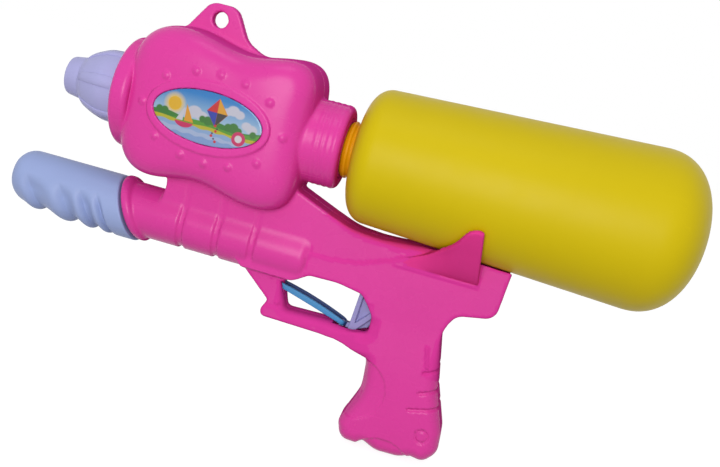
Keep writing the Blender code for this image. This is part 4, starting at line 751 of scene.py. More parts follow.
OPENING_OUTLINE = rounded_outline([
    (GUARD_FRONT_X + 0.0073, 0.0475, 0.0),
    (GUARD_FRONT_X + 0.0130, GUARD_BAR_TOP_Z + 0.0010, 0.003),
    (-0.0480, GUARD_BAR_TOP_Z + 0.0018, 0.010),
    (-0.0360, GUARD_BAR_TOP_Z + 0.0008, 0.010),
    (GUARD_REAR_X, GUARD_BAR_TOP_Z + 0.0026, 0.003),
    (GUARD_REAR_X, 0.0440, 0.006),
    (-0.0330, 0.0545, 0.006),
    (-0.0480, GUARD_TOP_Z, 0.030),
    (-0.0645, GUARD_TOP_Z - 0.0005, 0.006),
    (-0.0705, 0.0525, 0.004),
])
GRIP_OUTLINE = rounded_outline([
    (-0.0200, 0.0520, 0.0),
    (-0.0222, 0.0180, 0.0),
    (-0.0208, -0.0010, 0.030),
    (-0.0290, -0.0222, 0.006),
    (-0.0258, -0.0322, 0.007),
    (-0.0150, -0.0326, 0.004),
    (-0.0124, -0.0306, 0.001),
    (-0.0040, -0.0346, 0.014),
    (0.0100, -0.0340, 0.014),
    (0.0163, -0.0306, 0.001),
    (0.0240, -0.0318, 0.007),
    (0.0305, -0.0240, 0.009),
    (0.0296, -0.0120, 0.014),
    (0.0212, 0.0120, 0.040),
    (0.0147, 0.0430, 0.0),
    (0.0140, 0.0520, 0.0),
])
EYE_X = BUBBLE_CENTRE_X - 0.0144
EYE_Z = TANK_AXIS_Z + 0.0506
EYE_RADIUS = 0.0085
EYE_FLOOR_Z = TANK_AXIS_Z + 0.7 * BUBBLE_HALF_HEIGHT
EYE_OUTLINE = rounded_outline([
    (EYE_X - 0.0250, EYE_FLOOR_Z, 0.0),
    (EYE_X - 0.0150, EYE_Z - 0.0045, 0.012),
    (EYE_X - 0.0060, EYE_Z + EYE_RADIUS, EYE_RADIUS),
    (EYE_X + 0.0088, EYE_Z + EYE_RADIUS, EYE_RADIUS),
    (EYE_X + 0.0180, EYE_Z - 0.0080, 0.012),
    (EYE_X + 0.0300, EYE_Z - 0.0140, 0.0),
    (EYE_X + 0.0300, EYE_FLOOR_Z, 0.0),
])
print("outline points:", len(WEB_OUTLINE), len(BODY_OUTLINE), len(GRIP_OUTLINE))

# %% [markdown]
# The bubble is a cushion with a waist. A sculpted or subdivided box could give it, but the ring, the
# collar and the web have to run into it, so it is a field too: a rounded square whose height is drawn
# in near its middle, and which is crowned towards the sides in the same squared-off way.

# %% Bubble field
FRONT_SQUARENESS = 3.7
REAR_SQUARENESS = 5.0
BUBBLE_TRIM = 0.985
BUBBLE_CROWN = 5.0
WAIST_SHARE = 0.17
WAIST_WIDTH = 0.025
WAIST_TOP_X = 0.012
WAIST_BOTTOM_X = -0.004
GAUGE_ROUNDS = 6
GAUGE_PROBE = 1e-5
BUBBLE_DEEP = -0.012
BUBBLE_FAR = 0.2


def bubble_gauge(u, w):
    """How much the waisted outline has to grow to reach a point of the parting plane."""
    shift = np.where(w > 0.0, WAIST_TOP_X, WAIST_BOTTOM_X)
    square = np.where(u < 0.0, FRONT_SQUARENESS, REAR_SQUARENESS)
    ends = np.abs(u / BUBBLE_HALF_LENGTH) ** square
    tall = np.abs(w / (BUBBLE_TRIM * BUBBLE_HALF_HEIGHT)) ** square
    gauge = np.maximum((ends + tall) ** (1.0 / square), 1e-3)
    for _ in range(GAUGE_ROUNDS):
        waist = 1.0 - WAIST_SHARE * np.exp(-((u / gauge - shift) / WAIST_WIDTH) ** 2)
        gauge = np.maximum((ends + tall / waist ** square) ** (1.0 / square), 1e-3)
    return gauge


def bubble_field(x, across_y, z):
    u, w = np.broadcast_arrays(x - BUBBLE_CENTRE_X, z - TANK_AXIS_Z)
    gauge = bubble_gauge(u, w)
    slope = np.hypot(bubble_gauge(u + GAUGE_PROBE, w) - gauge,
                     bubble_gauge(u, w + GAUGE_PROBE) - gauge) / GAUGE_PROBE
    depth = across_y / BUBBLE_HALF_DEPTH
    size = (gauge ** BUBBLE_CROWN + depth ** BUBBLE_CROWN) ** (1.0 / BUBBLE_CROWN)
    flat = BUBBLE_CROWN - 1.0
    steep = np.hypot(gauge ** flat * slope, depth ** flat / BUBBLE_HALF_DEPTH)
    away = (size - 1.0) * size ** flat / np.maximum(steep, 1e-3)
    return np.where(size < 0.6, BUBBLE_DEEP, np.clip(away, BUBBLE_DEEP, BUBBLE_FAR))


print("bubble", 2.0 * BUBBLE_HALF_LENGTH, "long,", 2.0 * BUBBLE_HALF_DEPTH, "thick")

# %% [markdown]
# The cradle and the web have to leave room for the tank. For that a plain taper with a round shoulder is
# enough; the bottle itself is turned further down, with a finer profile.

# %% Room of the tank
TANK_LENGTH = 0.1925
TANK_FRONT_RADIUS = 0.0380
TANK_REAR_RADIUS = 0.0448
SHOULDER_LENGTH = 0.019


def tank_wall_radius(x):
    share = (x - SHOULDER_X) / TANK_LENGTH
    return TANK_FRONT_RADIUS + (TANK_REAR_RADIUS - TANK_FRONT_RADIUS) * share


def tank_field(x, y, z):
    """Tapered wall and round shoulder of the tank, below zero inside."""
    radius = np.hypot(y, z - TANK_AXIS_Z)
    full = SHOULDER_X + SHOULDER_LENGTH
    back = np.clip((full - x) / SHOULDER_LENGTH, 0.0, 1.0)
    wall = NECK_RADIUS + (tank_wall_radius(np.maximum(x, full)) - NECK_RADIUS) * np.sqrt(1.0 - back * back)
    return np.maximum(radius - wall, SHOULDER_X - x)


print("tank room radius at its front and rear:", TANK_FRONT_RADIUS, TANK_REAR_RADIUS)

# %% [markdown]
# Small marks of the mould are drawn flat, as maps over the side view, and then pushed into or out of
# the surface: the studs round the label, the scooped crescents, thumb notches and boss ring on the
# grip, and the sloping facet beside the trigger.

# %% Marks on the sides
STUD_CENTRE = (BUBBLE_CENTRE_X + 0.0019, TANK_AXIS_Z)
STUD_ELLIPSE = (0.0395, 0.0240)
STUD_ACROSS = (-0.0395, -0.0288, -0.0130, 0.0005, 0.0143, 0.0290, 0.0395)
STUD_RADIUS = 0.0027
STUD_HEIGHT = 0.0009
NOTCHES = (((0.0114, 0.0212), (0.0200, 0.0246)), ((0.0117, 0.0091), (0.0240, 0.0135)),
           ((0.0082, -0.0019), (0.0280, 0.0034)))
NOTCH_DEPTH = 0.0011
NOTCH_EDGE = (0.0002, 0.0015)
CRESCENTS = ((-0.0246, 0.0014, 0.0181), (-0.0003, -0.0415, 0.0183))
CRESCENT_TOP_Z = 0.0245
CRESCENT_STEP = 0.0007
CRESCENT_EDGE = (-0.0005, 0.0005)
CRESCENT_SLOPE = 0.050
CRESCENT_REACH = 0.016
BOSS_RING = (0.0193, -0.0150, 0.0036)
BOSS_RING_DEPTH = 0.0007
BOSS_RING_EDGE = (0.0002, 0.0011)
BACKSTRAP = ((0.0091, 0.0355), (0.0120, 0.0250))
BACKSTRAP_HEIGHT = 0.0006
BACKSTRAP_EDGE = (0.0002, 0.0013)
SIDE_FACE_Y = (0.0045, 0.0090)
POCKET_DEPTH = 0.0022
POCKET_REACH = 0.0058
POCKET_X = (-0.0330, -0.0265)
POCKET_Z = (0.0390, 0.0450)

STUD_PLACES = []
for stud_u in STUD_ACROSS:
    stud_w = STUD_ELLIPSE[1] * sqrt(max(0.0, 1.0 - (stud_u / STUD_ELLIPSE[0]) ** 2))
    for side in (1.0, -1.0) if abs(stud_u) < STUD_ELLIPSE[0] else (1.0,):
        STUD_PLACES.append((STUD_CENTRE[0] + stud_u, STUD_CENTRE[1] + side * stud_w))


def segment_distance(x, z, start, end):
    dx, dz = end[0] - start[0], end[1] - start[1]
    t = np.clip(((x - start[0]) * dx + (z - start[1]) * dz) / (dx * dx + dz * dz), 0.0, 1.0)
    return np.hypot(x - start[0] - t * dx, z - start[1] - t * dz)


def dome(x, z, centre, radius):
    return np.maximum(1.0 - ((x - centre[0]) ** 2 + (z - centre[1]) ** 2) / radius ** 2, 0.0) ** 1.3


def ellipse_field(u, w, half_length, half_height):
    k0 = np.hypot(u / half_length, w / half_height)
    k1 = np.hypot(u / half_length ** 2, w / half_height ** 2)
    return k0 * (k0 - 1.0) / np.maximum(k1, 1e-6)


def grip_marks(x, z, depth):
    """How far the grip's surface is pushed in."""
    push = np.zeros_like(x + z)
    for centre_x, centre_z, radius in CRESCENTS:
        inside = radius - np.hypot(x - centre_x, z - centre_z)
        push = push + CRESCENT_STEP * ramp(inside, *CRESCENT_EDGE)
        push = push + CRESCENT_SLOPE * np.clip(inside, 0.0, CRESCENT_REACH)
    push = push * (z < CRESCENT_TOP_Z)
    ring = np.abs(np.hypot(x - BOSS_RING[0], z - BOSS_RING[1]) - BOSS_RING[2])
    push = push + BOSS_RING_DEPTH * (1.0 - ramp(ring, *BOSS_RING_EDGE))
    strap = segment_distance(x, z, *BACKSTRAP)
    push = push - BACKSTRAP_HEIGHT * (1.0 - ramp(strap, *BACKSTRAP_EDGE))
    cut = np.zeros_like(push)
    for start, end in NOTCHES:
        cut = np.maximum(cut, 1.0 - ramp(segment_distance(x, z, start, end), *NOTCH_EDGE))
    return push * ramp(depth, *SIDE_FACE_Y) + NOTCH_DEPTH * cut


def pocket(x, z):
    """Sloping facet round the corner of the opening beside the trigger's toe."""
    near = 1.0 - np.clip(outline_field(x, z, OPENING_OUTLINE) / POCKET_REACH, 0.0, 1.0)
    return POCKET_DEPTH * near * ramp(x, *POCKET_X) * (1.0 - ramp(z, *POCKET_Z))


print("studs:", len(STUD_PLACES), "notches:", len(NOTCHES))

# %% [markdown]
# On each side a wing rises from the body and hugs the tank, which lies between the two. Its upper edge
# is a curve in space, so that edge is a route. Below it the wing's outer face bulges out from the body, and
# its inner face keeps one wall's distance from the tank.

# %% Cradle wing
FIN_ROOT_Z = 0.0775
FIN_FOOT_X = 0.0262
FIN_BACK_LEAN = 0.145
FIN_WALL = 0.0026
FIN_BULGE = 0.65
FIN_ROUNDING = 0.0014
FIN_FILLET = 0.0020
FIN_SLOPE = 0.75
FIN_SKIRT = 0.0015
FIN_ROOT_Y = BODY_HALF_DEPTH - 0.0004
FIN_SADDLE_RISE = 0.0006
FIN_SADDLE_X = (0.0020, 0.0120)
FIN_EDGE = np.array([tuple(point) for point in smooth_route([
    (-0.0205, BODY_HALF_DEPTH - 0.0006, FIN_ROOT_Z + 0.0012),
    (-0.0065, 0.0150, 0.0852),
    (0.0028, 0.0232, 0.0930),
    (0.0090, 0.0318, 0.1000),
    (0.0131, 0.0374, 0.1073),
    (0.0161, 0.0388, 0.1098),
    (0.0192, 0.0393, 0.1104),
    (0.0262, 0.0390, 0.1098),
], 0.001)])


def fin_field(x, depth, z):
    """Wing from the body's side up to the tank."""
    at = np.clip(x, FIN_EDGE[0, 0], FIN_EDGE[-1, 0])
    tip_y = np.interp(at, FIN_EDGE[:, 0], FIN_EDGE[:, 1])
    tip_z = np.interp(at, FIN_EDGE[:, 0], FIN_EDGE[:, 2])
    run_y, run_z = tip_y - FIN_ROOT_Y, tip_z - FIN_ROOT_Z
    climb = np.clip((z - FIN_ROOT_Z) / run_z, 1e-6, 1.2)
    outer = FIN_SLOPE * (depth - FIN_ROOT_Y - run_y * climb ** FIN_BULGE)
    to_axis = np.hypot(tip_y, TANK_AXIS_Z - tip_z)
    top = ((depth - tip_y) * (TANK_AXIS_Z - tip_z) + (z - tip_z) * tip_y) / to_axis
    band = np.hypot(depth, z - TANK_AXIS_Z) - tank_wall_radius(x) - TANK_CLEARANCE - FIN_WALL
    field = smooth_max(smooth_min(outer, band, FIN_FILLET), top, FIN_ROUNDING)
    field = smooth_max(field, x - FIN_FOOT_X + FIN_BACK_LEAN * (z - FIN_ROOT_Z), FIN_ROUNDING)
    saddle = z - tip_z - FIN_SADDLE_RISE - ramp(x, *FIN_SADDLE_X)
    ends = np.maximum(FIN_EDGE[0, 0] - x, FIN_ROOT_Z - FIN_SKIRT - z)
    return np.maximum(np.maximum(field, saddle), ends)


print("wing's edge:", len(FIN_EDGE), "points, highest at z", round(float(FIN_EDGE[:, 2].max()), 4))

# %% [markdown]
# The outside of the housing is put together from three groups: the web with the pump tube and its raked
# lip, the lower frame with guard and grip, and the bubble with everything on it. Each pair meets with its
# own fillet, as the mould has it: wide under the tube, sharp where the frame lies on the web.

# %% Outside of the housing
TUBE_TAIL_X = -0.0672
TUBE_TAIL_RIM = 0.0050
TUBE_FILLET = 0.0026
GROOVE_DEPTH = 0.0012
GROOVE_EDGE = (0.0010, 0.0026)
GROOVE_PLACES = [LIP_CENTRE_X + 0.0346 + 0.0211 * i for i in range(3)]
LIP_RIM = 0.0024
LIP_FILLET = 0.0012
LIP_EDGE = 0.0010
WEB_GROOVE_DEPTH = 0.0003
WEB_GROOVE_TOP = (0.0830, 0.0930)
WEB_SHOULDER_Z = (0.0760, 0.0820)
GUARD_HALF_DEPTH = 0.0088
GUARD_TOP_STEP = (0.0495, 0.0515)
GUARD_SWELL, GUARD_SWELL_X, GUARD_SWELL_RUN = 0.0040, -0.0540, 0.0310
POST_THINNER = 0.0005
POST_REAR_STEP = (-0.0738, -0.0722)
POST_FOOT_STEP = (0.0314, 0.0326)
POST_NUBS = ((-0.0857, 0.0500), (-0.0792, 0.0350))
NUB_RADIUS = 0.0016
NUB_HEIGHT = 0.0007
PLATE_RIM = 0.0014
GRIP_RIM = 0.0080
GRIP_FILLET = 0.0040
GRIP_FRONT_X = (-0.0340, -0.0180)
GRIP_LOW_Z = (0.0080, 0.0180)
GRIP_TOP_Z = (0.0100, 0.0470)
STUD_FACE_Y = (0.0100, 0.0150)
RING_RADIUS = 0.0312
RING_RIM = 0.0032
RING_FILLET = 0.0010
COLLAR_RIM = 0.0030
COLLAR_FILLET = 0.0016
RIDGE_PLACES = [BUBBLE_REAR_X + 0.0050 + 0.0033 * i for i in range(4)]
RIDGE_HEIGHT = 0.00025
RIDGE_EDGE = (0.0002, 0.0013)
EYE_HALF_DEPTH = 0.0030
EYE_FILLET = 0.0020
LABEL_RIM = (LABEL_HALF_LENGTH + 0.0042, LABEL_HALF_HEIGHT + 0.0053)
LABEL_RIM_FILLET = 0.0006
THIN_RIM = 0.0009
FRAME_FILLET = 0.0008
WING_FILLET = 0.0010
BUBBLE_FILLET = 0.0020
POCKET_FACE_Y = (0.0060, 0.0085)


def raised(x, places, inner, outer):
    """1 at the given places along X, 0 away from them."""
    made = np.zeros_like(x)
    for place_x in places:
        made = np.maximum(made, 1.0 - ramp(np.abs(x - place_x), inner, outer))
    return made


def tube_groove(x):
    return raised(x, GROOVE_PLACES, *GROOVE_EDGE)


def body_depth(x, z):
    """Half thickness of the lower frame: the guard is thinner than the rest, its post thinnest."""
    bar = GUARD_HALF_DEPTH + GUARD_SWELL * (x - GUARD_SWELL_X) / GUARD_SWELL_RUN
    bar = np.clip(bar, GUARD_HALF_DEPTH, BODY_HALF_DEPTH)
    low = 1.0 - ramp(z, *GUARD_TOP_STEP)
    post = (1.0 - ramp(x, *POST_REAR_STEP)) * ramp(z, *POST_FOOT_STEP)
    return BODY_HALF_DEPTH + (bar - BODY_HALF_DEPTH - POST_THINNER * post) * low


def grip_share(x, z):
    """0 on the flat frame, 1 on the pillow-like grip, soft in between."""
    behind_guard = np.maximum(ramp(x, *GRIP_FRONT_X), 1.0 - ramp(z, *GRIP_LOW_Z))
    return (1.0 - ramp(z, *GRIP_TOP_Z)) * behind_guard


def frame_depth(x, z):
    frame_here = body_depth(x, z)
    return frame_here + (GRIP_HALF_DEPTH - frame_here) * grip_share(x, z)


def web_and_tube(x, y, z):
    """Web and pump tube; the grooves of the tube run on into faint bands on the web."""
    depth = np.abs(y)
    round_pump = np.hypot(y, z - PUMP_AXIS_Z)
    rake = (x - LIP_CENTRE_X) * cos(LIP_RAKE) + (z - PUMP_AXIS_Z) * sin(LIP_RAKE)
    groove = tube_groove(x)
    softer = 0.0018 * ramp(x, -0.0620, -0.0400) + 0.0014 * ramp(x, -0.0350, -0.0180)
    web_rim = PLATE_RIM + ramp(z, *WEB_SHOULDER_Z) * softer
    web = plate_field(outline_field(x, z, WEB_OUTLINE), depth, WEB_HALF_DEPTH, web_rim)
    web = web + WEB_GROOVE_DEPTH * groove * (1.0 - ramp(z, *WEB_GROOVE_TOP))
    tube = plate_field(x - TUBE_TAIL_X, round_pump, TUBE_RADIUS, TUBE_TAIL_RIM) + GROOVE_DEPTH * groove
    field = smooth_min(web, tube, TUBE_FILLET)
    lip = plate_field(np.abs(rake - 0.5 * LIP_WIDTH) - 0.5 * LIP_WIDTH, round_pump, LIP_RADIUS, LIP_RIM)
    return smooth_max(smooth_min(field, lip, LIP_FILLET), -rake, LIP_EDGE)


def lower_frame(x, depth, z):
    """Frame, guard and grip, with the marks on the grip and two pips on the guard's post."""
    side = smooth_min(outline_field(x, z, BODY_OUTLINE), outline_field(x, z, GRIP_OUTLINE), GRIP_FILLET)
    rim = PLATE_RIM + (GRIP_RIM - PLATE_RIM) * grip_share(x, z)
    body = plate_field(side, depth, frame_depth(x, z), rim)
    for nub in POST_NUBS:
        body = body - NUB_HEIGHT * dome(x, z, nub, NUB_RADIUS)
    return body + grip_marks(x, z, depth)


def bubble_group(x, y, z):
    """Bubble with its studs, front ring, ribbed collar, hanging eye and label rim."""
    depth = np.abs(y)
    round_tank = np.hypot(y, z - TANK_AXIS_Z)
    stud = np.zeros_like(x + z)
    for place in STUD_PLACES:
        stud = stud + dome(x, z, place, STUD_RADIUS)
    field = bubble_field(x, depth, z) - STUD_HEIGHT * stud * ramp(depth, *STUD_FACE_Y)
    ring = turned_field(x, round_tank, RING_FRONT_X, BUBBLE_FRONT_X + 0.0060, RING_RADIUS, RING_RIM)
    field = smooth_min(field, ring, RING_FILLET)
    collar = turned_field(x, round_tank, BUBBLE_REAR_X - 0.008, COLLAR_REAR_X, COLLAR_RADIUS, COLLAR_RIM)
    collar = collar - RIDGE_HEIGHT * raised(x, RIDGE_PLACES, *RIDGE_EDGE)
    field = smooth_min(field, collar, COLLAR_FILLET)
    eye = plate_field(outline_field(x, z, EYE_OUTLINE), depth, EYE_HALF_DEPTH, THIN_RIM)
    field = smooth_min(field, eye, EYE_FILLET)
    rim = ellipse_field(x - BUBBLE_CENTRE_X, z - TANK_AXIS_Z, *LABEL_RIM)
    return smooth_min(field, plate_field(rim, depth, PAD_FACE_Y, THIN_RIM), LABEL_RIM_FILLET)


def outside(x, y, z):
    """The whole outer form, not yet hollow or cut."""
    depth = np.abs(y)
    field = smooth_min(web_and_tube(x, y, z), lower_frame(x, depth, z), FRAME_FILLET)
    field = smooth_min(field, fin_field(x, depth, z), WING_FILLET)
    field = field + pocket(x, z) * ramp(depth, *POCKET_FACE_Y)
    return smooth_min(field, bubble_group(x, y, z), BUBBLE_FILLET)


print("tube grooves at x", [round(v, 4) for v in GROOVE_PLACES])

# %% [markdown]
# The shells are hollow, and some of that shows: through the pump's mouth, the finger opening and the gap
# at the tank. The hollow is the outside again, one wall further in, less what has to be left standing:
# screw bosses, the trigger's bearings and the post that the rubber band hangs on.

# %% Hollow of the housing
SPIGOT_FLANGE_X = RING_FRONT_X + 0.0033
CLAMP_X = SPIGOT_FLANGE_X + 0.0033
FLANGE_ROOM = 0.0128
SPIGOT_ROOM = 0.0083
SCREW_PLACES = (
    (0.0180, -0.0180),
    (-0.0020, 0.0400),
    (0.0300, 0.0740),
    (GUARD_FRONT_X + 0.0062, GUARD_BAR_TOP_Z + 0.0025),
    (BUBBLE_CENTRE_X - 0.0160, PUMP_AXIS_Z + TUBE_RADIUS + 0.0070),
    (BUBBLE_CENTRE_X - 0.0300, TANK_AXIS_Z + 0.0310),
)
SCREW_BOSS_RADIUS = 0.0049
SCREW_SEAT_Y = 0.0055
PIVOT_BOSS_RADIUS = 0.0055
PIVOT_BOSS_FACE_Y = 0.0029
PINCH_X = -0.0460
BAND_POST_X = BAND_FRONT[0] + 0.0050
BAND_POST_HALF_WIDTH = 0.0022
BAND_POST_HALF_LENGTH = 0.0026
RING_FACE_WALL = 0.0030
HEAD_SEAT_WIDTH = 0.0030
GRIP_EXTRA_WALL = 0.0008
GRIP_HOLLOW_RIM = 0.006
OPENING_EXTRA_WALL = 0.0014


def hollow(x, y, z):
    """Inside of the housing, with the bosses and posts left standing."""
    depth = np.abs(y)
    round_tank = np.hypot(y, z - TANK_AXIS_Z)
    round_pump = np.hypot(y, z - PUMP_AXIS_Z)
    core = bubble_field(x, depth, z) + SHELL_WALL
    core = np.maximum(core, CLAMP_X + SHELL_WALL - x)
    core = np.maximum(core, x - (HEAD_FRONT_X - SEAT_GAP - SHELL_WALL))
    flange = np.where(x < CLAMP_X, FLANGE_ROOM, SPIGOT_ROOM)
    face = np.maximum(RING_FRONT_X + RING_FACE_WALL - x, x - BUBBLE_CENTRE_X)
    face = np.maximum(round_tank - flange, face)
    window = np.maximum(BUBBLE_CENTRE_X - x, x - HEAD_FRONT_X)
    window = np.maximum(round_tank - (HEAD_RADIUS - HEAD_SEAT_WIDTH), window)
    bore = np.hypot(np.maximum(x - TUBE_END_X, 0.0), round_pump) - TUBE_BORE + GROOVE_DEPTH * tube_groove(x)
    web = np.maximum(outline_field(x, z, WEB_OUTLINE) + SHELL_WALL, depth - WEB_HALF_DEPTH + SHELL_WALL)
    body = np.maximum(outline_field(x, z, BODY_OUTLINE) + SHELL_WALL, depth - body_depth(x, z) + SHELL_WALL)
    grip = plate_field(outline_field(x, z, GRIP_OUTLINE) + SHELL_WALL, depth,
                       frame_depth(x, z) - SHELL_WALL - GRIP_EXTRA_WALL, GRIP_HOLLOW_RIM)
    for room in (face, window, bore, web, body, grip):
        core = np.minimum(core, room)
    core = core + pocket(x, z)
    core = np.maximum(core, SHELL_WALL + OPENING_EXTRA_WALL - outline_field(x, z, OPENING_OUTLINE))
    core = np.maximum(core, TANK_CLEARANCE + SHELL_WALL - tank_field(x, y, z))
    for place_x, place_z in SCREW_PLACES:
        core = np.maximum(core, SCREW_BOSS_RADIUS - np.hypot(x - place_x, z - place_z))
    pivot = np.maximum(np.hypot(x - PIVOT_X, z - PIVOT_Z) - PIVOT_BOSS_RADIUS, PIVOT_BOSS_FACE_Y - depth)
    core = np.maximum(core, -pivot)
    post = np.hypot(x - BAND_POST_X, y) - BAND_POST_HALF_WIDTH
    stem = np.abs(x - BAND_POST_X - BAND_POST_HALF_LENGTH) - BAND_POST_HALF_LENGTH
    post = np.minimum(post, np.maximum(depth - BAND_POST_HALF_WIDTH, stem))
    return np.maximum(core, -np.maximum(post, z - (PUMP_AXIS_Z - TUBE_BORE - SEAT_GAP)))


print("screw bosses:", len(SCREW_PLACES))

# %% [markdown]
# One half shell is the outside less the hollow, with the openings that other pieces need: the finger
# opening, the eye's hole, the label's recess, the cradle, the cup of the tank's socket, the nozzle's bore,
# the trigger's slot, the band's slot, the pin's holes and the screw holes. In code that is a row of cuts.

# %% One half shell
OPENING_EDGE = 0.0016
OPENING_SOFTER = 0.0040
EYE_HOLE_RADIUS = 0.0044
EYE_HOLE_X = EYE_X + 0.0008
EYE_HOLE_EDGE = 0.0010
LABEL_RECESS = 0.0010
RECESS_EDGE = 0.0005
CRADLE_EDGE = 0.0006
SEAT_EDGE = 0.0004
CUP_ROOM = 0.0033
ANVIL_HALF_LENGTH = 0.0020
ANVIL_BOTTOM_Z = 0.0838
ANVIL_SIDE_Y = 0.0026
PIN_RADIUS = 0.0018
SLOT_HALF_WIDTH = 0.0056
SCREW_HOLE_RADIUS = 0.0017
HEAD_HOLE_RADIUS = 0.0033
PILOT_HOLE_DEPTH = 0.0073


def shell_field(x, y, z, screwed):
    """The half with y below zero; the other half is its mirror with screw holes."""
    depth = np.abs(y)
    round_tank = np.hypot(y, z - TANK_AXIS_Z)
    shell = outside(x, y, z)
    low_front = (1.0 - ramp(z, 0.0350, 0.0480)) * (1.0 - ramp(x, -0.0420, -0.0320))
    soft_edge = OPENING_EDGE + OPENING_SOFTER * low_front
    shell = smooth_max(shell, -outline_field(x, z, OPENING_OUTLINE), soft_edge)
    shell = smooth_max(shell, EYE_HOLE_RADIUS - np.hypot(x - EYE_HOLE_X, z - EYE_Z), EYE_HOLE_EDGE)
    recess = ellipse_field(x - BUBBLE_CENTRE_X, z - TANK_AXIS_Z, LABEL_HALF_LENGTH + SEAT_GAP,
                           LABEL_HALF_HEIGHT + SEAT_GAP)
    shell = smooth_max(shell, -np.maximum(recess, PAD_FACE_Y - LABEL_RECESS - depth), RECESS_EDGE)
    shell = smooth_max(shell, TANK_CLEARANCE - tank_field(x, y, z), CRADLE_EDGE)
    inside = hollow(x, y, z)
    if not screwed:
        anvil = np.maximum(ANVIL_BOTTOM_Z - z, y + ANVIL_SIDE_Y)
        inside = np.maximum(inside, -np.maximum(np.abs(x - PINCH_X) - ANVIL_HALF_LENGTH, anvil))
    shell = np.maximum(shell, -inside)
    cup = np.where(x < HEAD_INNER_X + SEAT_GAP, HEAD_RADIUS + CUP_ROOM, HEAD_RADIUS + SEAT_GAP)
    shell = smooth_max(shell, -np.maximum(round_tank - cup, HEAD_FRONT_X - SEAT_GAP - x), SEAT_EDGE)
    shell = np.maximum(shell, -np.maximum(round_tank - SPIGOT_ROOM, x - (RING_FRONT_X + 0.0060)))
    trigger_slot = box_field(x, depth, z, GUARD_REAR_X - 0.0210, PIVOT_X + 0.0150, -1.0, SLOT_HALF_WIDTH,
                             GUARD_BAR_TOP_Z - 0.0040, GUARD_TOP_Z + RUN_IN)
    band_slot = box_field(x, depth, z, BAND_FRONT[0] + 0.0008, BAND_FRONT[0] + 0.0120,
                          BAND_POST_HALF_WIDTH + 0.00015, 0.0045,
                          BAND_FRONT[1] - 0.0062, BAND_FRONT[1] + 0.0020)
    pin = np.hypot(x - PIVOT_X, z - PIVOT_Z) - PIN_RADIUS
    pin = np.maximum(pin, depth - (BODY_HALF_DEPTH - SHELL_WALL))
    for cut in (trigger_slot, band_slot, pin):
        shell = np.maximum(shell, -cut)
    for place_x, place_z in SCREW_PLACES:
        round_screw = np.hypot(x - place_x, z - place_z)
        if screwed:
            shell = np.maximum(shell, SCREW_HOLE_RADIUS - round_screw)
            head_hole = np.maximum(round_screw - HEAD_HOLE_RADIUS, SCREW_SEAT_Y - depth)
            shell = smooth_max(shell, -head_hole, SEAT_EDGE)
        else:
            pilot = np.maximum(round_screw - SCREW_HOLE_RADIUS, depth - PILOT_HOLE_DEPTH)
            shell = np.maximum(shell, -pilot)
    return np.maximum(shell, y + 0.5 * PARTING_GAP)


print("eye's hole", 2.0 * EYE_HOLE_RADIUS, "across, shell wall", SHELL_WALL)

# %% [markdown]
# Both halves are drawn from that field. The right half is made on the left side and mirrored, so its
# faces are turned round and its normals with them. Each face then gets one of the four pink finishes, by
# how far it turns away from the side, how flat the frame is there, and whether it lies next to the tank,
# where the pink carries painted bounce light from the tank.

# %% Half shells
SHELL_STEP = 0.0010
RIM_STEPS = (-0.5, -0.25)
FRAME_FLAT = 0.997
FRAME_GLOSS_Z = 0.018
WEB_TOP_Z = 0.0840
GRIP_OVERRUN = 0.003


def pink_finishes(mesh, normals):
    """For each face: 0 side, 1 turning away, 2 rim, 3 painted bounce light next to the tank."""
    def per_face(kind):
        values = np.empty(3 * len(mesh.polygons))
        mesh.polygons.foreach_get(kind, values)
        return values.reshape(-1, 3).T

    _, facing_y, facing_z = per_face("normal")
    x, y, z = per_face("center")
    corners = np.empty(len(mesh.loops), int)
    mesh.loops.foreach_get("vertex_index", corners)
    flatness = np.abs(normals[corners.reshape(-1, 4), 1]).min(axis=1)
    finish = np.digitize(-np.abs(facing_y), RIM_STEPS)
    on_frame = (x > TUBE_TAIL_X) | (z < PUMP_AXIS_Z - TUBE_RADIUS)
    on_frame &= (z > FRAME_GLOSS_Z) & (z < FRAME_TOP_Z)
    finish[on_frame & (flatness < FRAME_FLAT)] = 2
    on_wing = (x > FIN_EDGE[0, 0]) & (z > FIN_ROOT_Z - FIN_SKIRT) & (np.abs(y) > BODY_HALF_DEPTH + 0.0002)
    web_top = (x > COLLAR_REAR_X) & (z > WEB_TOP_Z) & (z < TANK_AXIS_Z - COLLAR_RADIUS) & (facing_z > 0.6)
    # Wing and web top next to the tank get the painted bounce light of the yellow tank
    finish[on_wing | web_top] = 3
    return finish


low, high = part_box("left_shell")
for name, node, screwed in (("left_housing", "left_shell", False), ("right_housing", "right_shell", True)):
    mesh, normals = net_mesh(name, lambda x, y, z: shell_field(x, y, z, screwed),
                             (low.x, low.y, low.z - GRIP_OVERRUN), (high.x, 0.0, high.z), SHELL_STEP)
    if screwed:
        mesh.transform(Matrix.Scale(-1.0, 4, (0.0, 1.0, 0.0)))
        mesh.flip_normals()
        normals = normals * (1.0, -1.0, 1.0)
    mesh.normals_split_custom_set_from_vertices(normals.tolist())
    add_piece(name, mesh, pink, "housing", "shell", node)
    for material in (pink_turning, pink_rim, pink_painted_bounce):
        mesh.materials.append(material)
    mesh.polygons.foreach_set("material_index", pink_finishes(mesh, normals))

# %% [markdown]
# ## Tank
# A blow-moulded bottle: a thread neck, a round shoulder, a wall that opens a little towards the rear
# and a rounded base. It is a turned piece, so its profile is spun about the tank's axis, the outside
# first and the inside back to the mouth.

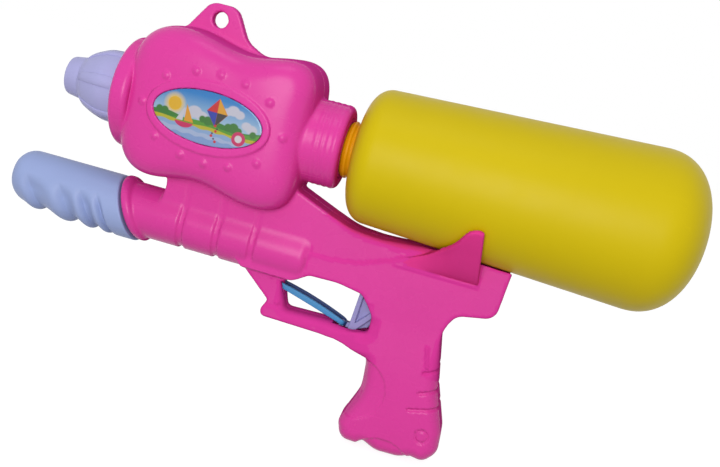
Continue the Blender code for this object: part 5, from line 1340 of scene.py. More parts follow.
# %% Tank
BOTTLE_START_X = SHOULDER_X + 0.0036
BOTTLE_SHOULDER = 0.0145
BOTTLE_FRONT_RADIUS = 0.0368
BOTTLE_REAR_RADIUS = 0.0455
SHOULDER_SQUARENESS = 2.4
TANK_WALL = 0.0016
NECK_WALL = 0.0021
BEAD_RADIUS = 0.0160
BEAD_HEIGHT = 0.0007
DOME_LENGTH = 0.030
DOME_SQUARENESS = 2.3
WALL_STEPS = 12
TANK_REAR_X = SHOULDER_X + TANK_LENGTH
TANK_SIDES = 96


def bottle_radius(x):
    share = (x - SHOULDER_X) / TANK_LENGTH
    return BOTTLE_FRONT_RADIUS + (BOTTLE_REAR_RADIUS - BOTTLE_FRONT_RADIUS) * share


def quarter_turns(steps, squareness):
    """Sine and cosine of a quarter turn in steps, drawn towards a square corner."""
    for k in range(steps + 1):
        angle = 0.5 * pi * k / steps
        yield sin(angle) ** (2.0 / squareness), max(0.0, cos(angle)) ** (2.0 / squareness)


def tank_profile(inset, neck_radius, steps):
    points = []
    start, full, base = BOTTLE_START_X + inset, BOTTLE_START_X + BOTTLE_SHOULDER, TANK_REAR_X - DOME_LENGTH
    for out, back in quarter_turns(steps, SHOULDER_SQUARENESS):
        radius = neck_radius + (bottle_radius(full) - inset - neck_radius) * out
        points.append((full - (full - start) * back, radius))
    for k in range(1, WALL_STEPS):
        x = full + (base - full) * k / WALL_STEPS
        points.append((x, bottle_radius(x) - inset))
    for reach, out in quarter_turns(steps, DOME_SQUARENESS):
        points.append((base + (DOME_LENGTH - inset) * reach, (bottle_radius(base) - inset) * out))
    points[-1] = (points[-1][0], 0.0)
    return points


neck_inner = NECK_RADIUS - NECK_WALL
ring_x = COLLAR_REAR_X + 0.0006
bead_foot = BEAD_RADIUS - BEAD_HEIGHT
neck = [(NECK_FRONT_X, neck_inner), (NECK_FRONT_X, NECK_RADIUS - 0.0003),
        (NECK_FRONT_X + 0.0003, NECK_RADIUS), (ring_x, NECK_RADIUS), (ring_x, BEAD_RADIUS - 0.0011),
        (ring_x + 0.0003, bead_foot)]
for k in range(7):
    angle = pi * k / 6
    neck.append((ring_x + 0.0020 - 0.0011 * cos(angle), bead_foot + BEAD_HEIGHT * sin(angle)))
profile = [*neck, *tank_profile(0.0, BEAD_RADIUS - 0.0010, 24),
           *reversed(tank_profile(TANK_WALL, neck_inner, 12)), neck[0]]
# Painted bounce light: the neck inside the pink collar is painted orange, for the pink light thrown onto it
two_tone(yellow, 0, 1.0 + BOTTLE_START_X - 0.0010, 1.0 + BOTTLE_START_X + 0.0030, NECK_PAINTED_BOUNCE, 1.0)
tank_mesh = turned_mesh("tank_bottle", profile, TANK_AXIS_Z, TANK_SIDES, yellow)
add_piece("tank_bottle", tank_mesh, yellow, "tank", "tank", "tank")

# %% [markdown]
# ## Nozzle
# A swelling cone with a plain tip ring and six flat ribs along it. The cone is turned.

# %% Nozzle cone
NOZZLE_TIP_LENGTH = 0.0075
JET_LENGTH = 0.0090
NOZZLE_BORE = 0.0083
MOUTH_RADIUS = 0.0040
JET_RADIUS = 0.0053
NOZZLE_SIDES = 72
jet_front = NOZZLE_TIP_X + NOZZLE_TIP_LENGTH
jet_rear = jet_front + JET_LENGTH
step_x = jet_front + 0.0013
CONE = [(NOZZLE_BASE_X, 0.0205), (NOZZLE_BASE_X - 0.0092, 0.0204), (NOZZLE_BASE_X - 0.0140, 0.0196),
        (NOZZLE_BASE_X - 0.0190, 0.0176), (NOZZLE_BASE_X - 0.0235, 0.0153), (step_x + 0.0010, 0.0131)]
cone_line = [(p.x, p.z) for p in smooth_route([(x, 0.0, r) for x, r in CONE], 0.0008)]
tip_line = [(step_x + 0.0002, 0.0128), (step_x, 0.0124), (step_x - 0.0004, 0.0121),
            (step_x - 0.0012, 0.0120), (NOZZLE_TIP_X + 0.0008, 0.0109), (NOZZLE_TIP_X + 0.0002, 0.0106),
            (NOZZLE_TIP_X, 0.0101)]
bore_line = [(NOZZLE_TIP_X, MOUTH_RADIUS + 0.0004), (NOZZLE_TIP_X + 0.0003, MOUTH_RADIUS),
             (jet_front, MOUTH_RADIUS), (jet_front, JET_RADIUS), (jet_rear, JET_RADIUS),
             (jet_rear, NOZZLE_BORE), (NOZZLE_BASE_X, NOZZLE_BORE)]
profile = [bore_line[-1], *cone_line, *tip_line, *bore_line]
nozzle_mesh = turned_mesh("nozzle_cone", profile, TANK_AXIS_Z, NOZZLE_SIDES, lilac)
add_piece("nozzle_cone", nozzle_mesh, lilac, "housing", "lilac", "nozzle")

# %% [markdown]
# One rib follows the cone's own line and stands half a millimetre proud. Geometry Nodes set it round
# the axis six times, so that a change to the rib changes them all.

# %% Nozzle ribs
RIB_COUNT = 6
RIB_FIRST_TURN = radians(80.0)
RIB_HALF_TURN = radians(9.5)
RIB_LIFT = 0.0006

round_tree, size = new_tree("pieces_round_axis", {
    "Count": "Int", "First turn": "Float", "Axis height": "Float", "Material": "Material"})
stations = wire(round_tree, "GeometryNodeMeshLine", {
    "Count": size["Count"], "Offset": (0.0, 0.0, 0.0), "Start Location": (0.0, 0.0, 0.0)})
turn_by = wire(round_tree, "GeometryNodeInputIndex") * (2.0 * pi / size["Count"]) + size["First turn"]
stations = wire(round_tree, "GeometryNodeSetPosition", {
    "Geometry": stations, "Position": vector_of(round_tree, z=size["Axis height"])})
placed = wire(round_tree, "GeometryNodeInstanceOnPoints", {
    "Points": stations, "Instance": size["Geometry"], "Rotation": vector_of(round_tree, x=turn_by)})
end_tree(round_tree, placed, size["Material"])

rib_line = [(x, r) for x, r in cone_line if x < NOZZLE_BASE_X - 0.0006]
rib_rows = []
for k, (x, radius) in enumerate(rib_line):
    lift = RIB_LIFT if 0 < k < len(rib_line) - 1 else 0.5 * RIB_LIFT
    half_row = [(1.0, radius - RIB_LIFT), (1.0, radius + 0.4 * lift), (0.92, radius + lift)]
    row = [(-t, r) for t, r in half_row] + [(0.0, radius + lift)] + half_row[::-1]
    rib_rows.append([(x, r * sin(t * RIB_HALF_TURN), r * cos(t * RIB_HALF_TURN)) for t, r in row])


def lofted_faces(rows, wide):
    """Quads between closed rows of points, and a cap at each end."""
    faces = []
    for i in range(rows - 1):
        for j in range(wide):
            after = (j + 1) % wide
            faces.append([i * wide + j, i * wide + after, (i + 1) * wide + after, (i + 1) * wide + j])
    return faces + [list(range(wide)), [(rows - 1) * wide + j for j in range(wide)]]


rib_mesh = bpy.data.meshes.new("nozzle_rib")
rib_faces = lofted_faces(len(rib_rows), len(rib_rows[0]))
rib_mesh.from_pydata([point for row in rib_rows for point in row], [], rib_faces)
ribs = run_tree("nozzle_ribs", round_tree, rib_mesh, {
    "Count": RIB_COUNT, "First turn": RIB_FIRST_TURN, "Axis height": TANK_AXIS_Z, "Material": lilac})
add_piece("nozzle_ribs", ribs, lilac, "housing", "lilac")

# %% [markdown]
# ## Pump handle
# A sleeve that the other hand pulls. Its lower half has slanting finger scoops: soft hollows that end
# in a crease. They bend round the sleeve and fade out at mid height, so this is a field again.

# %% Pump handle
ROD_RADIUS = 0.0040
ROD_FRONT_X = HANDLE_REAR_X - 0.030
TIP_ROUNDNESS = 2.4
SCOOP_CREASES = (-0.0040, 0.0164, 0.0368, 0.0494, 0.0598, 0.0841)
SCOOP_LEAN = 0.39
SCOOP_DEPTH = 0.0034
SCOOP_END = (0.0586, 0.0631)
HANDLE_BELLY = 0.0020
SLEEVE_ROOM = (0.0065, 0.0112)
SLEEVE_ROOM_START = 0.0182
HANDLE_STEP = 0.0006


def handle_field(x, y, z):
    rise = z - PUMP_AXIS_Z
    along = x - HANDLE_TIP_X
    below = np.clip(0.5 - 0.8 * rise / HANDLE_RADIUS, 0.0, 1.0)
    tip = np.clip(along / (0.012 + 0.010 * below), 0.0, 1.0)
    radius = HANDLE_RADIUS * (1.0 - (1.0 - tip) ** TIP_ROUNDNESS) ** (1.0 / TIP_ROUNDNESS)
    slant = along + SCOOP_LEAN * rise
    phase = np.interp(slant, SCOOP_CREASES, range(len(SCOOP_CREASES)))
    hollow_here = 1.0 - np.sin(pi * (phase - np.floor(phase)) ** 1.9)
    fade = ramp(-rise, -0.0070, 0.0030) * ramp(along, 0.006, 0.016) * (1.0 - ramp(slant, *SCOOP_END))
    radius = radius - SCOOP_DEPTH * hollow_here * fade + HANDLE_BELLY * below * ramp(along, 0.010, 0.035)
    round_here = np.hypot(y, rise)
    side = (round_here - radius) * np.where(tip < 1.0, 0.75, 1.0)
    sleeve = np.where(along < 0.0, np.hypot(along, round_here), side)
    sleeve = np.maximum(sleeve, -along)
    rear = (x - HANDLE_REAR_X) * cos(LIP_RAKE) + rise * sin(LIP_RAKE)
    sleeve = smooth_max(sleeve, rear, 0.0010)
    room = np.maximum(round_here - SLEEVE_ROOM[1], SLEEVE_ROOM[0] - round_here)
    room = np.maximum(room, HANDLE_TIP_X + SLEEVE_ROOM_START - x)
    socket = np.maximum(round_here - (ROD_RADIUS + SEAT_GAP), ROD_FRONT_X - SEAT_GAP - x)
    return np.maximum(np.maximum(sleeve, -room), -socket)


low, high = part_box("pump_handle")
mesh, normals = net_mesh("pump_sleeve", handle_field, (low.x, low.y - 0.002, low.z - 0.004),
                         (high.x + 0.002, high.y + 0.002, high.z), HANDLE_STEP)
mesh.normals_split_custom_set_from_vertices(normals.tolist())
add_piece("pump_sleeve", mesh, blue_lilac, "pump", "lilac", "pump_handle")

# %% [markdown]
# ## Trigger
# A thin lever on a pin, with a broad finger flange in front and below, a nose that pinches the water
# hose, and a toe that carries the rubber band. Its parts are plates and boxes with small fillets, and
# a notch for the band, so it is one more field, on a finer net.

# %% Trigger
HOSE_RADIUS = 0.0024
HOSE_TOP_Z = 0.0822
HOSE_SIDE_Y = 0.0052
PINCH_SHARE = 0.55
NOSE_TOP_Z = HOSE_TOP_Z - PINCH_SHARE * HOSE_RADIUS - SEAT_GAP
NOSE_FRONT_X = PINCH_X - 0.0020
BLADE_HALF_DEPTH = 0.0023
FLANGE_HALF_DEPTH = 0.0050
BLADE_OUTLINE = rounded_outline([
    (PIVOT_X, PIVOT_Z + 0.0055, 0.004),
    (NOSE_FRONT_X, NOSE_TOP_Z, 0.001),
    (NOSE_FRONT_X, NOSE_TOP_Z - 0.0040, 0.001),
    (PIVOT_X - 0.0100, PIVOT_Z - 0.0050, 0.004),
    (-0.0345, 0.0545, 0.006),
    (-0.0365, 0.0312, 0.001),
    (-0.0325, 0.0312, 0.001),
    (-0.0262, 0.0340, 0.001),
    (-0.0205, 0.0470, 0.010),
    (-0.0165, 0.0560, 0.010),
    (PIVOT_X + 0.0065, PIVOT_Z, 0.004),
])
FLANGE_OUTLINE = [(-0.0350, 0.0545), (-0.0370, 0.0307), (-0.0332, 0.0307), (-0.0245, 0.0411),
                  (-0.0262, 0.0435), (-0.0338, 0.0352), (-0.0326, 0.0545)]
BAND_THICKNESS = 0.0014
BAND_HEIGHT = 0.0026
NOTCH_HALF_WIDTH = 0.0045
TRIGGER_STEP = 0.0004
band_run = Vector((BAND_REAR[0] - BAND_FRONT[0], BAND_REAR[1] - BAND_FRONT[1]))
band_middle = (0.5 * (BAND_REAR[0] + BAND_FRONT[0]), 0.5 * (BAND_REAR[1] + BAND_FRONT[1]))
band_slope = atan2(band_run.y, band_run.x)


def band_notch(x, depth, z):
    """Room that the band's rear end takes in the trigger's toe."""
    a = (x - band_middle[0]) * cos(band_slope) + (z - band_middle[1]) * sin(band_slope)
    up = (z - band_middle[1]) * cos(band_slope) - (x - band_middle[0]) * sin(band_slope)
    half = 0.5 * band_run.length
    outer_end = np.maximum(np.abs(a) - half - SEAT_GAP + NOTCH_HALF_WIDTH, 0.0)
    outer = np.hypot(outer_end, depth) - NOTCH_HALF_WIDTH
    inner_end = np.maximum(np.abs(a) - half + BAND_THICKNESS + SEAT_GAP + BAND_POST_HALF_WIDTH, 0.0)
    inner = np.hypot(inner_end, depth) - BAND_POST_HALF_WIDTH
    return np.maximum(np.maximum(outer, -inner), np.abs(up) - 0.5 * BAND_HEIGHT - SEAT_GAP)


def trigger_field(x, y, z):
    depth = np.abs(y)
    lever = plate_field(outline_field(x, z, BLADE_OUTLINE), depth, BLADE_HALF_DEPTH, 0.0004)
    flange = plate_field(outline_field(x, z, FLANGE_OUTLINE), depth, FLANGE_HALF_DEPTH, 0.0005)
    lever = smooth_min(lever, flange, 0.0012)
    nose = box_field(x, y, z, NOSE_FRONT_X, NOSE_FRONT_X + 0.0040, -HOSE_SIDE_Y - 0.0026, 0.0011,
                     NOSE_TOP_Z - 0.0030, NOSE_TOP_Z)
    toe = box_field(x, depth, z, BAND_REAR[0] - 0.0043, -0.0355, -1.0, BAND_POST_HALF_WIDTH,
                    BAND_REAR[1] - 0.0015, BAND_REAR[1] + 0.0014)
    lever = np.minimum(np.minimum(lever, nose), toe)
    lever = np.maximum(lever, PIN_RADIUS - np.hypot(x - PIVOT_X, z - PIVOT_Z))
    return np.maximum(lever, -band_notch(x, depth, z))


low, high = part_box("trigger")
mesh, normals = net_mesh("trigger_lever", trigger_field, low, high, TRIGGER_STEP)
mesh.normals_split_custom_set_from_vertices(normals.tolist())
# The trigger wears the lilac darkened as painted shade
add_piece("trigger_lever", mesh, trigger_painted_shade, "trigger", "lilac", "trigger")

# %% [markdown]
# ## Rubber band
# A flat loop from the guard's post to the trigger's toe. It has one section all the way round, so a
# rounded rectangle is swept along a long loop, a little thicker and bowed up in the middle, as a slack band
# is. It belongs to the housing at one end and to the trigger at the other, so it is put on neither body
# and stays where it lies at rest.

# %% Rubber band
BAND_BOW = 0.0009
BAND_SWELL = 0.40
BAND_ROUNDING = 0.0005
END_STEPS, SIDE_STEPS = 16, 24
half_along = 0.5 * band_run.length - 0.5 * BAND_THICKNESS
half_across = BAND_POST_HALF_WIDTH + 1.5 * SEAT_GAP + 0.5 * BAND_THICKNESS
straight = half_along - half_across
loop = []
for end in (1.0, -1.0):
    for k in range(END_STEPS + 1):
        angle = pi * k / END_STEPS - 0.5 * pi
        loop.append((end * (straight + half_across * cos(angle)), end * half_across * sin(angle)))
    for k in range(1, SIDE_STEPS):
        loop.append((end * straight * (1.0 - 2.0 * k / SIDE_STEPS), end * half_across))
bow = [1.0 - (a / half_along) ** 2 for a, _ in loop]
loop = [(a, b, BAND_BOW * rise) for (a, b), rise in zip(loop, bow)]
band_mesh = swept_mesh("rubber_band", loop, (BAND_THICKNESS, BAND_HEIGHT, BAND_ROUNDING), rubber_blue,
                       [1.0 + BAND_SWELL * rise for rise in bow], closed=True)
band_place = Matrix.Translation((band_middle[0], 0.0, band_middle[1]))
band_mesh.transform(band_place @ Matrix.Rotation(-band_slope, 4, "Y"))
# Painted shade: the inner faces of the loop are painted dark blue for the shade between its two runs
two_tone(rubber_blue, 1, half_across - 0.0003, half_across + 0.0003, BAND_PAINTED_SHADE)
band = add_piece("rubber_band", band_mesh, rubber_blue, None, "band", "trigger_band")
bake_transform(band)

# %% [markdown]
# ## Hoses
# Three soft hoses run inside: water from the tank past the trigger's nose to the nozzle, air from the
# pump to the tank, and a dip tube in the tank. They follow the CAD routes, point by point, and the water
# hose is drawn thinner where the nose pinches it.

# %% Hoses
NIPPLE_END_X = HEAD_FRONT_X - 0.008
WATER_Z = TANK_AXIS_Z - 0.004
AIR_Z = TANK_AXIS_Z + 0.004
SPIGOT_REAR_X = SPIGOT_FLANGE_X + 0.0110
OUTLET_X = LIP_CENTRE_X + 0.0106 + 0.070 - 0.0050
VALVE_TOP_Z = PUMP_AXIS_Z + TUBE_BORE - SEAT_GAP + 0.0160 + 2.0 * SEAT_GAP
PINCH_HALF_LENGTH = 0.0040
HOSE_SPACING = 0.0012
dip_start = HEAD_INNER_X + 0.003 + SEAT_GAP
s, top = HOSE_SIDE_Y, HOSE_TOP_Z
HOSE_ROUTES = {
    "water_hose": [
        (NIPPLE_END_X - SEAT_GAP, -0.005, WATER_Z), (NIPPLE_END_X - 0.006, -0.005, WATER_Z),
        (NIPPLE_END_X - 0.0167, -0.0060, WATER_Z - 0.0045),
        (NIPPLE_END_X - 0.0192, -0.0070, WATER_Z - 0.0130),
        (NIPPLE_END_X - 0.0142, -0.0065, WATER_Z - 0.0230), (BUBBLE_REAR_X - 0.0146, -s, WATER_Z - 0.0300),
        (BUBBLE_REAR_X - 0.0026, -s, top + 0.0053), (BUBBLE_REAR_X + 0.0114, -s, top + 0.0020),
        (-0.0550, -s, top), (PINCH_X - 0.003, -s, top), (PINCH_X + 0.003, -s, top), (-0.0300, -s, top),
        (-0.0120, -s, 0.0820), (-0.0020, -0.0040, 0.0770), (0.0005, 0.0000, 0.0715),
        (-0.0040, 0.0040, 0.0660), (-0.0140, s, 0.0635), (-0.0300, s, 0.0635), (-0.0450, s, 0.0660),
        (-0.0560, s, 0.0735),
        (BUBBLE_REAR_X + 0.0124, s, 0.0820), (BUBBLE_REAR_X - 0.0026, s, top + 0.0053),
        (BUBBLE_REAR_X - 0.0146, s, WATER_Z - 0.0300), (BUBBLE_REAR_X - 0.0276, 0.0075, WATER_Z - 0.0220),
        (BUBBLE_CENTRE_X + 0.0097, 0.0090, TANK_AXIS_Z - 0.0160),
        (BUBBLE_CENTRE_X - 0.0083, 0.0060, TANK_AXIS_Z - 0.0065),
        (SPIGOT_REAR_X + 0.0202, 0.0020, TANK_AXIS_Z - 0.0010),
        (SPIGOT_REAR_X + 0.006, 0.0, TANK_AXIS_Z), (SPIGOT_REAR_X + SEAT_GAP, 0.0, TANK_AXIS_Z)],
    "air_hose": [
        (OUTLET_X, 0.0, VALVE_TOP_Z), (OUTLET_X, 0.0, VALVE_TOP_Z + 0.006),
        (OUTLET_X - 0.0040, 0.0020, AIR_Z - 0.0210), (NIPPLE_END_X - 0.0162, 0.0040, AIR_Z - 0.0110),
        (NIPPLE_END_X - 0.0132, 0.005, AIR_Z - 0.0025), (NIPPLE_END_X - 0.006, 0.005, AIR_Z),
        (NIPPLE_END_X - SEAT_GAP, 0.005, AIR_Z)],
    "dip_tube": [
        (dip_start, -0.005, WATER_Z), (dip_start + 0.006, -0.005, WATER_Z),
        (dip_start + 0.060, -0.004, WATER_Z - 0.0100), (dip_start + 0.110, -0.002, WATER_Z - 0.0220),
        (dip_start + 0.165, 0.0, WATER_Z - 0.0300)],
}


def pinched(node, point):
    return node == "water_hose" and point.y < -0.5 * s and abs(point.x - PINCH_X) < PINCH_HALF_LENGTH


for node, route in HOSE_ROUTES.items():
    line = smooth_route(route, HOSE_SPACING)
    shares = [PINCH_SHARE if pinched(node, point) else 1.0 for point in line]
    section = (2.0 * HOSE_RADIUS, 2.0 * HOSE_RADIUS, 0.98 * HOSE_RADIUS)
    mesh = swept_mesh(node + "_soft", line, section, hose_clear, shares)
    add_piece(node + "_soft", mesh, hose_clear, "housing", "hose", node)

# %% [markdown]
# ## Screws
# Six pan-head screws with a cross recess hold the halves together, put in from the right. One screw is
# drawn as a field, because a domed head with a cross cut is a few lines there; Geometry Nodes set it
# at the six places.

# %% Screws
HEAD_SEAT_Y = SCREW_SEAT_Y + SEAT_GAP
SCREW_HEAD_RADIUS = 0.0030
SHANK_RADIUS = 0.00124
THREAD_PITCH = 0.0011
THREAD_HEIGHT = 0.00016
RECESS_HALF_WIDTH = 0.00042
RECESS_REACH = 0.0017
SCREW_STEP = 0.00026


def screw_field(x, y, z):
    radius = np.hypot(x, z)
    head = np.maximum(np.hypot(radius, y + 0.0022) - 0.0040, np.maximum(radius - SCREW_HEAD_RADIUS, -y))
    thread = THREAD_HEIGHT * np.cos(2.0 * pi * (y / THREAD_PITCH + np.arctan2(z, x) / (2.0 * pi)))
    ends = np.maximum(y - 0.0006, -HEAD_SEAT_Y - 0.0070 - y)
    shank = np.maximum(radius - SHANK_RADIUS - thread, ends)
    shank = np.maximum(shank, (radius - 0.0030 - (y + HEAD_SEAT_Y + 0.0060)) * 0.7)
    arm = np.minimum(np.abs(x), np.abs(z))
    cross = np.maximum(np.maximum(arm - RECESS_HALF_WIDTH, radius - RECESS_REACH), 0.0007 - y)
    return np.maximum(np.minimum(head, shank), -cross)


screw_mesh, _ = net_mesh("screw", screw_field, (-0.0030, -0.0130, -0.0030), (0.0030, 0.0019, 0.0030),
                         SCREW_STEP)
screw = bpy.data.objects.new("screw_pattern", screw_mesh)
bpy.context.scene.collection.objects.link(screw)
place_tree, size = new_tree("screws_at_places", {"Screw": "Object", "Material": "Material"})
shape_of = wire(place_tree, "GeometryNodeObjectInfo", {"Object": size["Screw"]}, "Geometry")
placed = wire(place_tree, "GeometryNodeInstanceOnPoints", {
    "Points": size["Geometry"], "Instance": shape_of})
end_tree(place_tree, placed, size["Material"])
places = bpy.data.meshes.new("screw_places")
places.from_pydata([(x, HEAD_SEAT_Y, z) for x, z in SCREW_PLACES], [], [])
screws = run_tree("shell_screws", place_tree, places, {"Screw": screw, "Material": zinc})
bpy.data.objects.remove(screw)
screw_nodes = ["shell_screw_%d" % (i + 1) for i in range(len(SCREW_PLACES))]
add_piece("shell_screws", screws, zinc, "housing", "steel", *screw_nodes)

# %% [markdown]
# ## Working pieces inside
# The CAD pieces of the pump and the tank's socket have the right shape already, so they stay and only
# get a finish. The rod shows when the pump is pulled out, so it is turned anew with soft ends.

# %% Working pieces
INNER_FINISHES = {
    pink_rim: ("tank_head",),
    white_inner: ("outlet_pipe", "nozzle_jet", "pump_cylinder", "cylinder_cap", "check_valve", "piston"),
    rubber_black: ("piston_seal", "tank_washer"),
    zinc: ("trigger_pin",),
}
ROD_CHAMFER = 0.0004
ROD_SIDES = 40
for finish, nodes in INNER_FINISHES.items():
    for node in nodes:
        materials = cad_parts[node].data.materials
        materials.clear()
        materials.append(finish)
low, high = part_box("pump_rod")
rod = [(low.x, 0.0), (low.x, ROD_RADIUS - ROD_CHAMFER), (low.x + ROD_CHAMFER, ROD_RADIUS),
       (high.x - ROD_CHAMFER, ROD_RADIUS), (high.x, ROD_RADIUS - ROD_CHAMFER), (high.x, 0.0)]
rod_mesh = turned_mesh("pump_rod_turned", rod, PUMP_AXIS_Z, ROD_SIDES, white_inner)
add_piece("pump_rod_turned", rod_mesh, white_inner, "pump", "inner", "pump_rod")

# %% [markdown]
# ## Labels
# Each side carries an oval printed film with a seaside picture. A print is flat, so it is painted by
# nodes on the label's own coordinates: every layer is a mask, and a mix lays it over the ones before.
# Places in the picture are shares of the label's half length, from its middle.

# %% Label masks
label_print = bpy.data.materials.new("label_print")
label_print.use_nodes = True
print_tree = label_print.node_tree
spot = wire(print_tree, "ShaderNodeTexCoord", output="Object")
spot = wire(print_tree, "ShaderNodeMapping", {
    "Vector": spot, "Location": (-BUBBLE_CENTRE_X, 0.0, -TANK_AXIS_Z)})
u, _, w = parts(spot)
u = u * (1.0 / LABEL_HALF_LENGTH)
w = w * (1.0 / LABEL_HALF_LENGTH)
PRINT_EDGE = 0.012


def over(below, mask, colour):
    return mix_colour(print_tree, mask, below, (*colour, 1.0))


def edge(distance, soft=PRINT_EDGE):
    return wire(print_tree, "ShaderNodeMapRange", {0: distance, 1: 0.5 * soft, 2: -0.5 * soft})


def disc(centre_u, centre_w, radius, soft=PRINT_EDGE, squash=1.0):
    a = u - centre_u
    b = (w - centre_w) * squash
    return edge((a * a + b * b).of("SQRT") - radius, soft)


def below_wave(height, swing, rate, shift, slope):
    return edge(w - ((u * rate + shift).of("SINE") * swing + u * slope + height))


def triangle(corner_u, corner_w, leg_u, leg_w):
    a = (u - corner_u) / leg_u
    b = (w - corner_w) / leg_w
    return edge((a + b - 1.0).of("MAXIMUM", a.of("MINIMUM", b) * -1.0), 0.06)


def diamond(centre_u, centre_w, half_u, half_w):
    a = (u - centre_u).of("ABSOLUTE") / half_u
    b = (w - centre_w).of("ABSOLUTE") / half_w
    return edge(a + b - 1.0, 0.08)


print("label masks ready")

# %% [markdown]
# The picture from back to front: sky and sun, clouds, trees, a beach and water in bands, bushes, a kite
# with its tail, a boat, and a float ring. Clouds, bands and bushes repeat, so each is a short table.

# %% Label picture
CLOUDS = ((-0.36, 0.02, 0.10), (-0.24, 0.06, 0.13), (-0.10, 0.01, 0.11), (0.34, 0.20, 0.08),
          (0.44, 0.24, 0.11), (0.56, 0.20, 0.09), (0.72, 0.04, 0.09), (0.82, 0.00, 0.10))
BUSHES = ((-0.88, -0.03, 0.06), (-0.78, -0.04, 0.07), (-0.08, -0.03, 0.06), (0.02, -0.04, 0.08),
          (0.40, -0.06, 0.07), (0.50, -0.05, 0.09), (0.60, -0.08, 0.06), (0.86, -0.08, 0.06))
BANDS = (
    ((-0.055, 0.035, 6.5, 0.4, 0.0), (0.045, 0.22, 0.035)),
    ((-0.10, 0.03, 5.0, 2.4, 0.0), (0.10, 0.36, 0.03)),
    ((-0.155, 0.016, 7.0, 1.0, -0.03), (0.60, 0.55, 0.02)),
    ((-0.205, 0.010, 22.0, 0.0, -0.03), (0.38, 0.53, 0.80)),
    ((-0.275, 0.010, 24.0, 1.3, -0.03), (0.52, 0.62, 0.85)),
    ((-0.345, 0.012, 26.0, 2.3, 0.0), (0.34, 0.47, 0.78)),
)
CLOUD_WHITE = (0.72, 0.72, 0.83)
BUSH_GREEN = (0.045, 0.20, 0.03)
KITE_RED = (0.72, 0.02, 0.02)
KITE_ORANGE = (0.90, 0.42, 0.01)
KITE_BLUE = (0.03, 0.06, 0.45)
KITE_DARK = (0.02, 0.012, 0.016)
KITE_U, KITE_W = 0.16, 0.14
BOAT_U, BOAT_W = -0.40, -0.15
FLOAT_U, FLOAT_W = 0.62, -0.21

sky = wire(print_tree, "ShaderNodeMapRange", {0: w, 1: -0.10, 2: 0.42})
picture = mix_colour(print_tree, sky, (0.55, 0.74, 0.90, 1.0), (0.06, 0.27, 0.68, 1.0))
picture = over(picture, disc(-0.62, 0.12, 0.165, 0.10), (0.95, 0.72, 0.30))
picture = over(picture, disc(-0.62, 0.12, 0.115), (0.95, 0.55, 0.02))
for cloud_u, cloud_w, radius in CLOUDS:
    picture = over(picture, disc(cloud_u, cloud_w, radius, 0.03, 1.25), CLOUD_WHITE)
for wave, colour in BANDS:
    picture = over(picture, below_wave(*wave), colour)
for bush_u, bush_w, radius in BUSHES:
    picture = over(picture, disc(bush_u, bush_w, radius, 0.02), BUSH_GREEN)
kite = diamond(KITE_U, KITE_W, 0.19, 0.25)
right, left, lower = edge(KITE_U - u), edge(u - KITE_U), kite * edge(w - KITE_W)
for mask, colour in ((kite, KITE_RED), (kite * right, KITE_ORANGE), (lower * left, KITE_BLUE),
                     (lower * right, KITE_DARK)):
    picture = over(picture, mask, colour)
for k in range(7):
    knot_mask = disc(KITE_U + 0.01 + 0.045 * sin(1.3 * k), -0.09 - 0.045 * k, (0.024, 0.016)[k % 2])
    picture = over(picture, knot_mask, (KITE_RED, KITE_DARK)[k % 2])
hull = disc(BOAT_U, BOAT_W, 0.17, 0.02, 1.6) * edge(w - (BOAT_W - 0.01))
picture = over(picture, hull, (0.70, 0.05, 0.16))
picture = over(picture, triangle(BOAT_U, BOAT_W + 0.01, 0.17, 0.30), (0.90, 0.40, 0.02))
picture = over(picture, triangle(BOAT_U - 0.03, BOAT_W + 0.01, -0.12, 0.24), (0.75, 0.75, 0.80))
picture = over(picture, disc(FLOAT_U, FLOAT_W, 0.125), (0.70, 0.06, 0.18))
picture = over(picture, disc(FLOAT_U, FLOAT_W, 0.065), (0.85, 0.80, 0.84))
picture = wire(print_tree, "ShaderNodeHueSaturation", {"Color": picture, "Saturation": 1.18, "Value": 0.60})
shader = print_tree.nodes["Principled BSDF"]
shader.inputs["Roughness"].default_value = 0.30
shader.inputs["Coat Weight"].default_value = 0.25
feed(picture, shader.inputs["Base Color"])
print("label print nodes:", len(print_tree.nodes))

# %% [markdown]
# The film itself is a thin oval plate, with a soft edge, in the recess of the bubble. It is made of closed
# rings of points from its back to its middle, and filled between them.

# %% Label plates
FILM_SIDES = 96
FILM_EDGE = 0.97
INNER_RINGS = 6
for name, side in (("label_left", -1.0), ("label_right", 1.0)):
    low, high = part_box(name)
    back = min(abs(low.y), abs(high.y))
    front = max(abs(low.y), abs(high.y))
    rings = [(1.0, back), (1.0, front - 0.0003), (0.992, front - 0.0001), (FILM_EDGE, front)]
    rings += [(FILM_EDGE * (1.0 - k / INNER_RINGS), front) for k in range(1, INNER_RINGS)]
    points = []
    for share, y in rings:
        for k in range(FILM_SIDES):
            angle = 2.0 * pi * k / FILM_SIDES
            points.append((BUBBLE_CENTRE_X + share * LABEL_HALF_LENGTH * cos(angle), side * y,
                           TANK_AXIS_Z + share * LABEL_HALF_HEIGHT * sin(angle)))
    mesh = bpy.data.meshes.new(name + "_film")
    mesh.from_pydata(points, [], lofted_faces(len(rings), FILM_SIDES))
    face_outwards(mesh)
    add_piece(name + "_film", mesh, label_print, "housing", "label", name)

# %% [markdown]
# ## Light
# Plain studio light: a broad soft lamp near the camera, a smaller cool one from above that draws a
# streak along the rounded tops, and an even white surround. Camera rays see the surround as white, so
# the light on the toy can stay at a plain level.

# %% Light
SURROUND_LIGHT = 0.45


def lamp(name, place, aim, size, energy, colour):
    data = bpy.data.lights.new(name, "AREA")
    data.shape = "DISK"
    data.size = size
    data.energy = energy
    data.color = colour
    made = bpy.data.objects.new(name, data)
    bpy.context.scene.collection.objects.link(made)
    made.location = place
    made.rotation_euler = (Vector(aim) - Vector(place)).to_track_quat("-Z", "Y").to_euler()
    print("lamp", name, energy, "W")


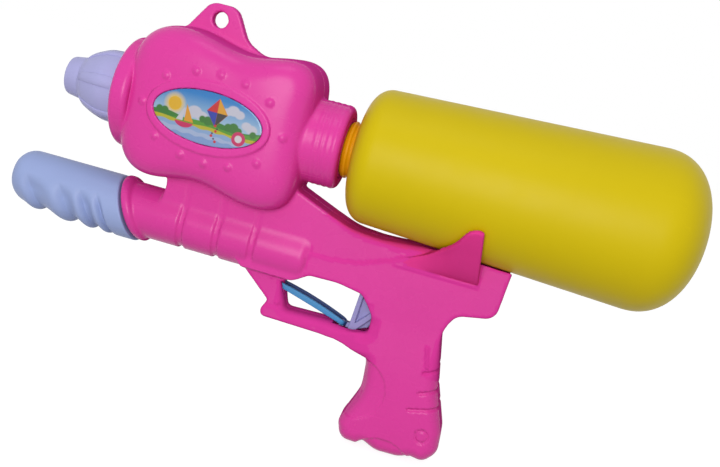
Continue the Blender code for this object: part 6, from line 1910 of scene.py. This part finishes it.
def seen_directly(tree):
    """1 for camera, glossy and transmission rays, 0 for light that falls on the toy."""
    ray = put(tree, "ShaderNodeLightPath").outputs
    straight, mirrored, through = (Wire(tree, ray["Is %s Ray" % kind])
                                   for kind in ("Camera", "Glossy", "Transmission"))
    return straight.of("MAXIMUM", mirrored).of("MAXIMUM", through)


key_place = VIEW_TARGET + 0.95 * behind + 0.04 * above - 0.10 * across
lamp("key", key_place, VIEW_TARGET, 0.60, 6.3, (1.0, 0.98, 0.98))
lamp("top", VIEW_TARGET + Vector((-0.10, -0.28, 0.75)), VIEW_TARGET, 0.36, 0.7, (0.86, 0.90, 1.0))
world = bpy.data.worlds.new("studio")
bpy.context.scene.world = world
world.use_nodes = True
background = world.node_tree.nodes["Background"]
strength = wire(world.node_tree, "ShaderNodeMapRange", {
    0: seen_directly(world.node_tree), 3: SURROUND_LIGHT, 4: 1.0})
feed(strength, background.inputs["Strength"])
background.inputs["Color"].default_value = (1.0, 1.0, 1.0, 1.0)
bpy.context.scene.view_settings.view_transform = "Standard"

# %% [markdown]
# ## Floor
# The toy stands on a plain pale floor. A bright floor would throw light up at it, so the floor is a middle
# grey with a glow that only camera and mirror rays see: it looks white and still holds a shadow.

# %% Floor
FLOOR_GREY = 0.37
FLOOR_GLOW = 0.86
FLOOR_REACH = 3.0
FLOOR_GAP = 0.0003
floor_material = bpy.data.materials.new("pale_floor")
floor_material.use_nodes = True
tree = floor_material.node_tree
tree.nodes.remove(tree.nodes["Principled BSDF"])
glow = wire(tree, "ShaderNodeEmission", {
    "Color": (1.0, 1.0, 1.0, 1.0), "Strength": seen_directly(tree) * FLOOR_GLOW})
matt = wire(tree, "ShaderNodeBsdfDiffuse", {"Color": (FLOOR_GREY, FLOOR_GREY, FLOOR_GREY, 1.0)})
feed(wire(tree, "ShaderNodeAddShader", {0: glow, 1: matt}), tree.nodes["Material Output"].inputs["Surface"])
floor_z = min(cad_box[0].z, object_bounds()[0].z) - FLOOR_GAP
mesh = bpy.data.meshes.new("floor")
corners = [(x * FLOOR_REACH, y * FLOOR_REACH, floor_z) for x, y in ((-1, -1), (1, -1), (1, 1), (-1, 1))]
mesh.from_pydata(corners, [], [(0, 1, 2, 3)])
mesh.materials.append(floor_material)
floor = bpy.data.objects.new("floor", mesh)
bpy.context.scene.collection.objects.link(floor)
print("floor at z", round(floor_z, 4))
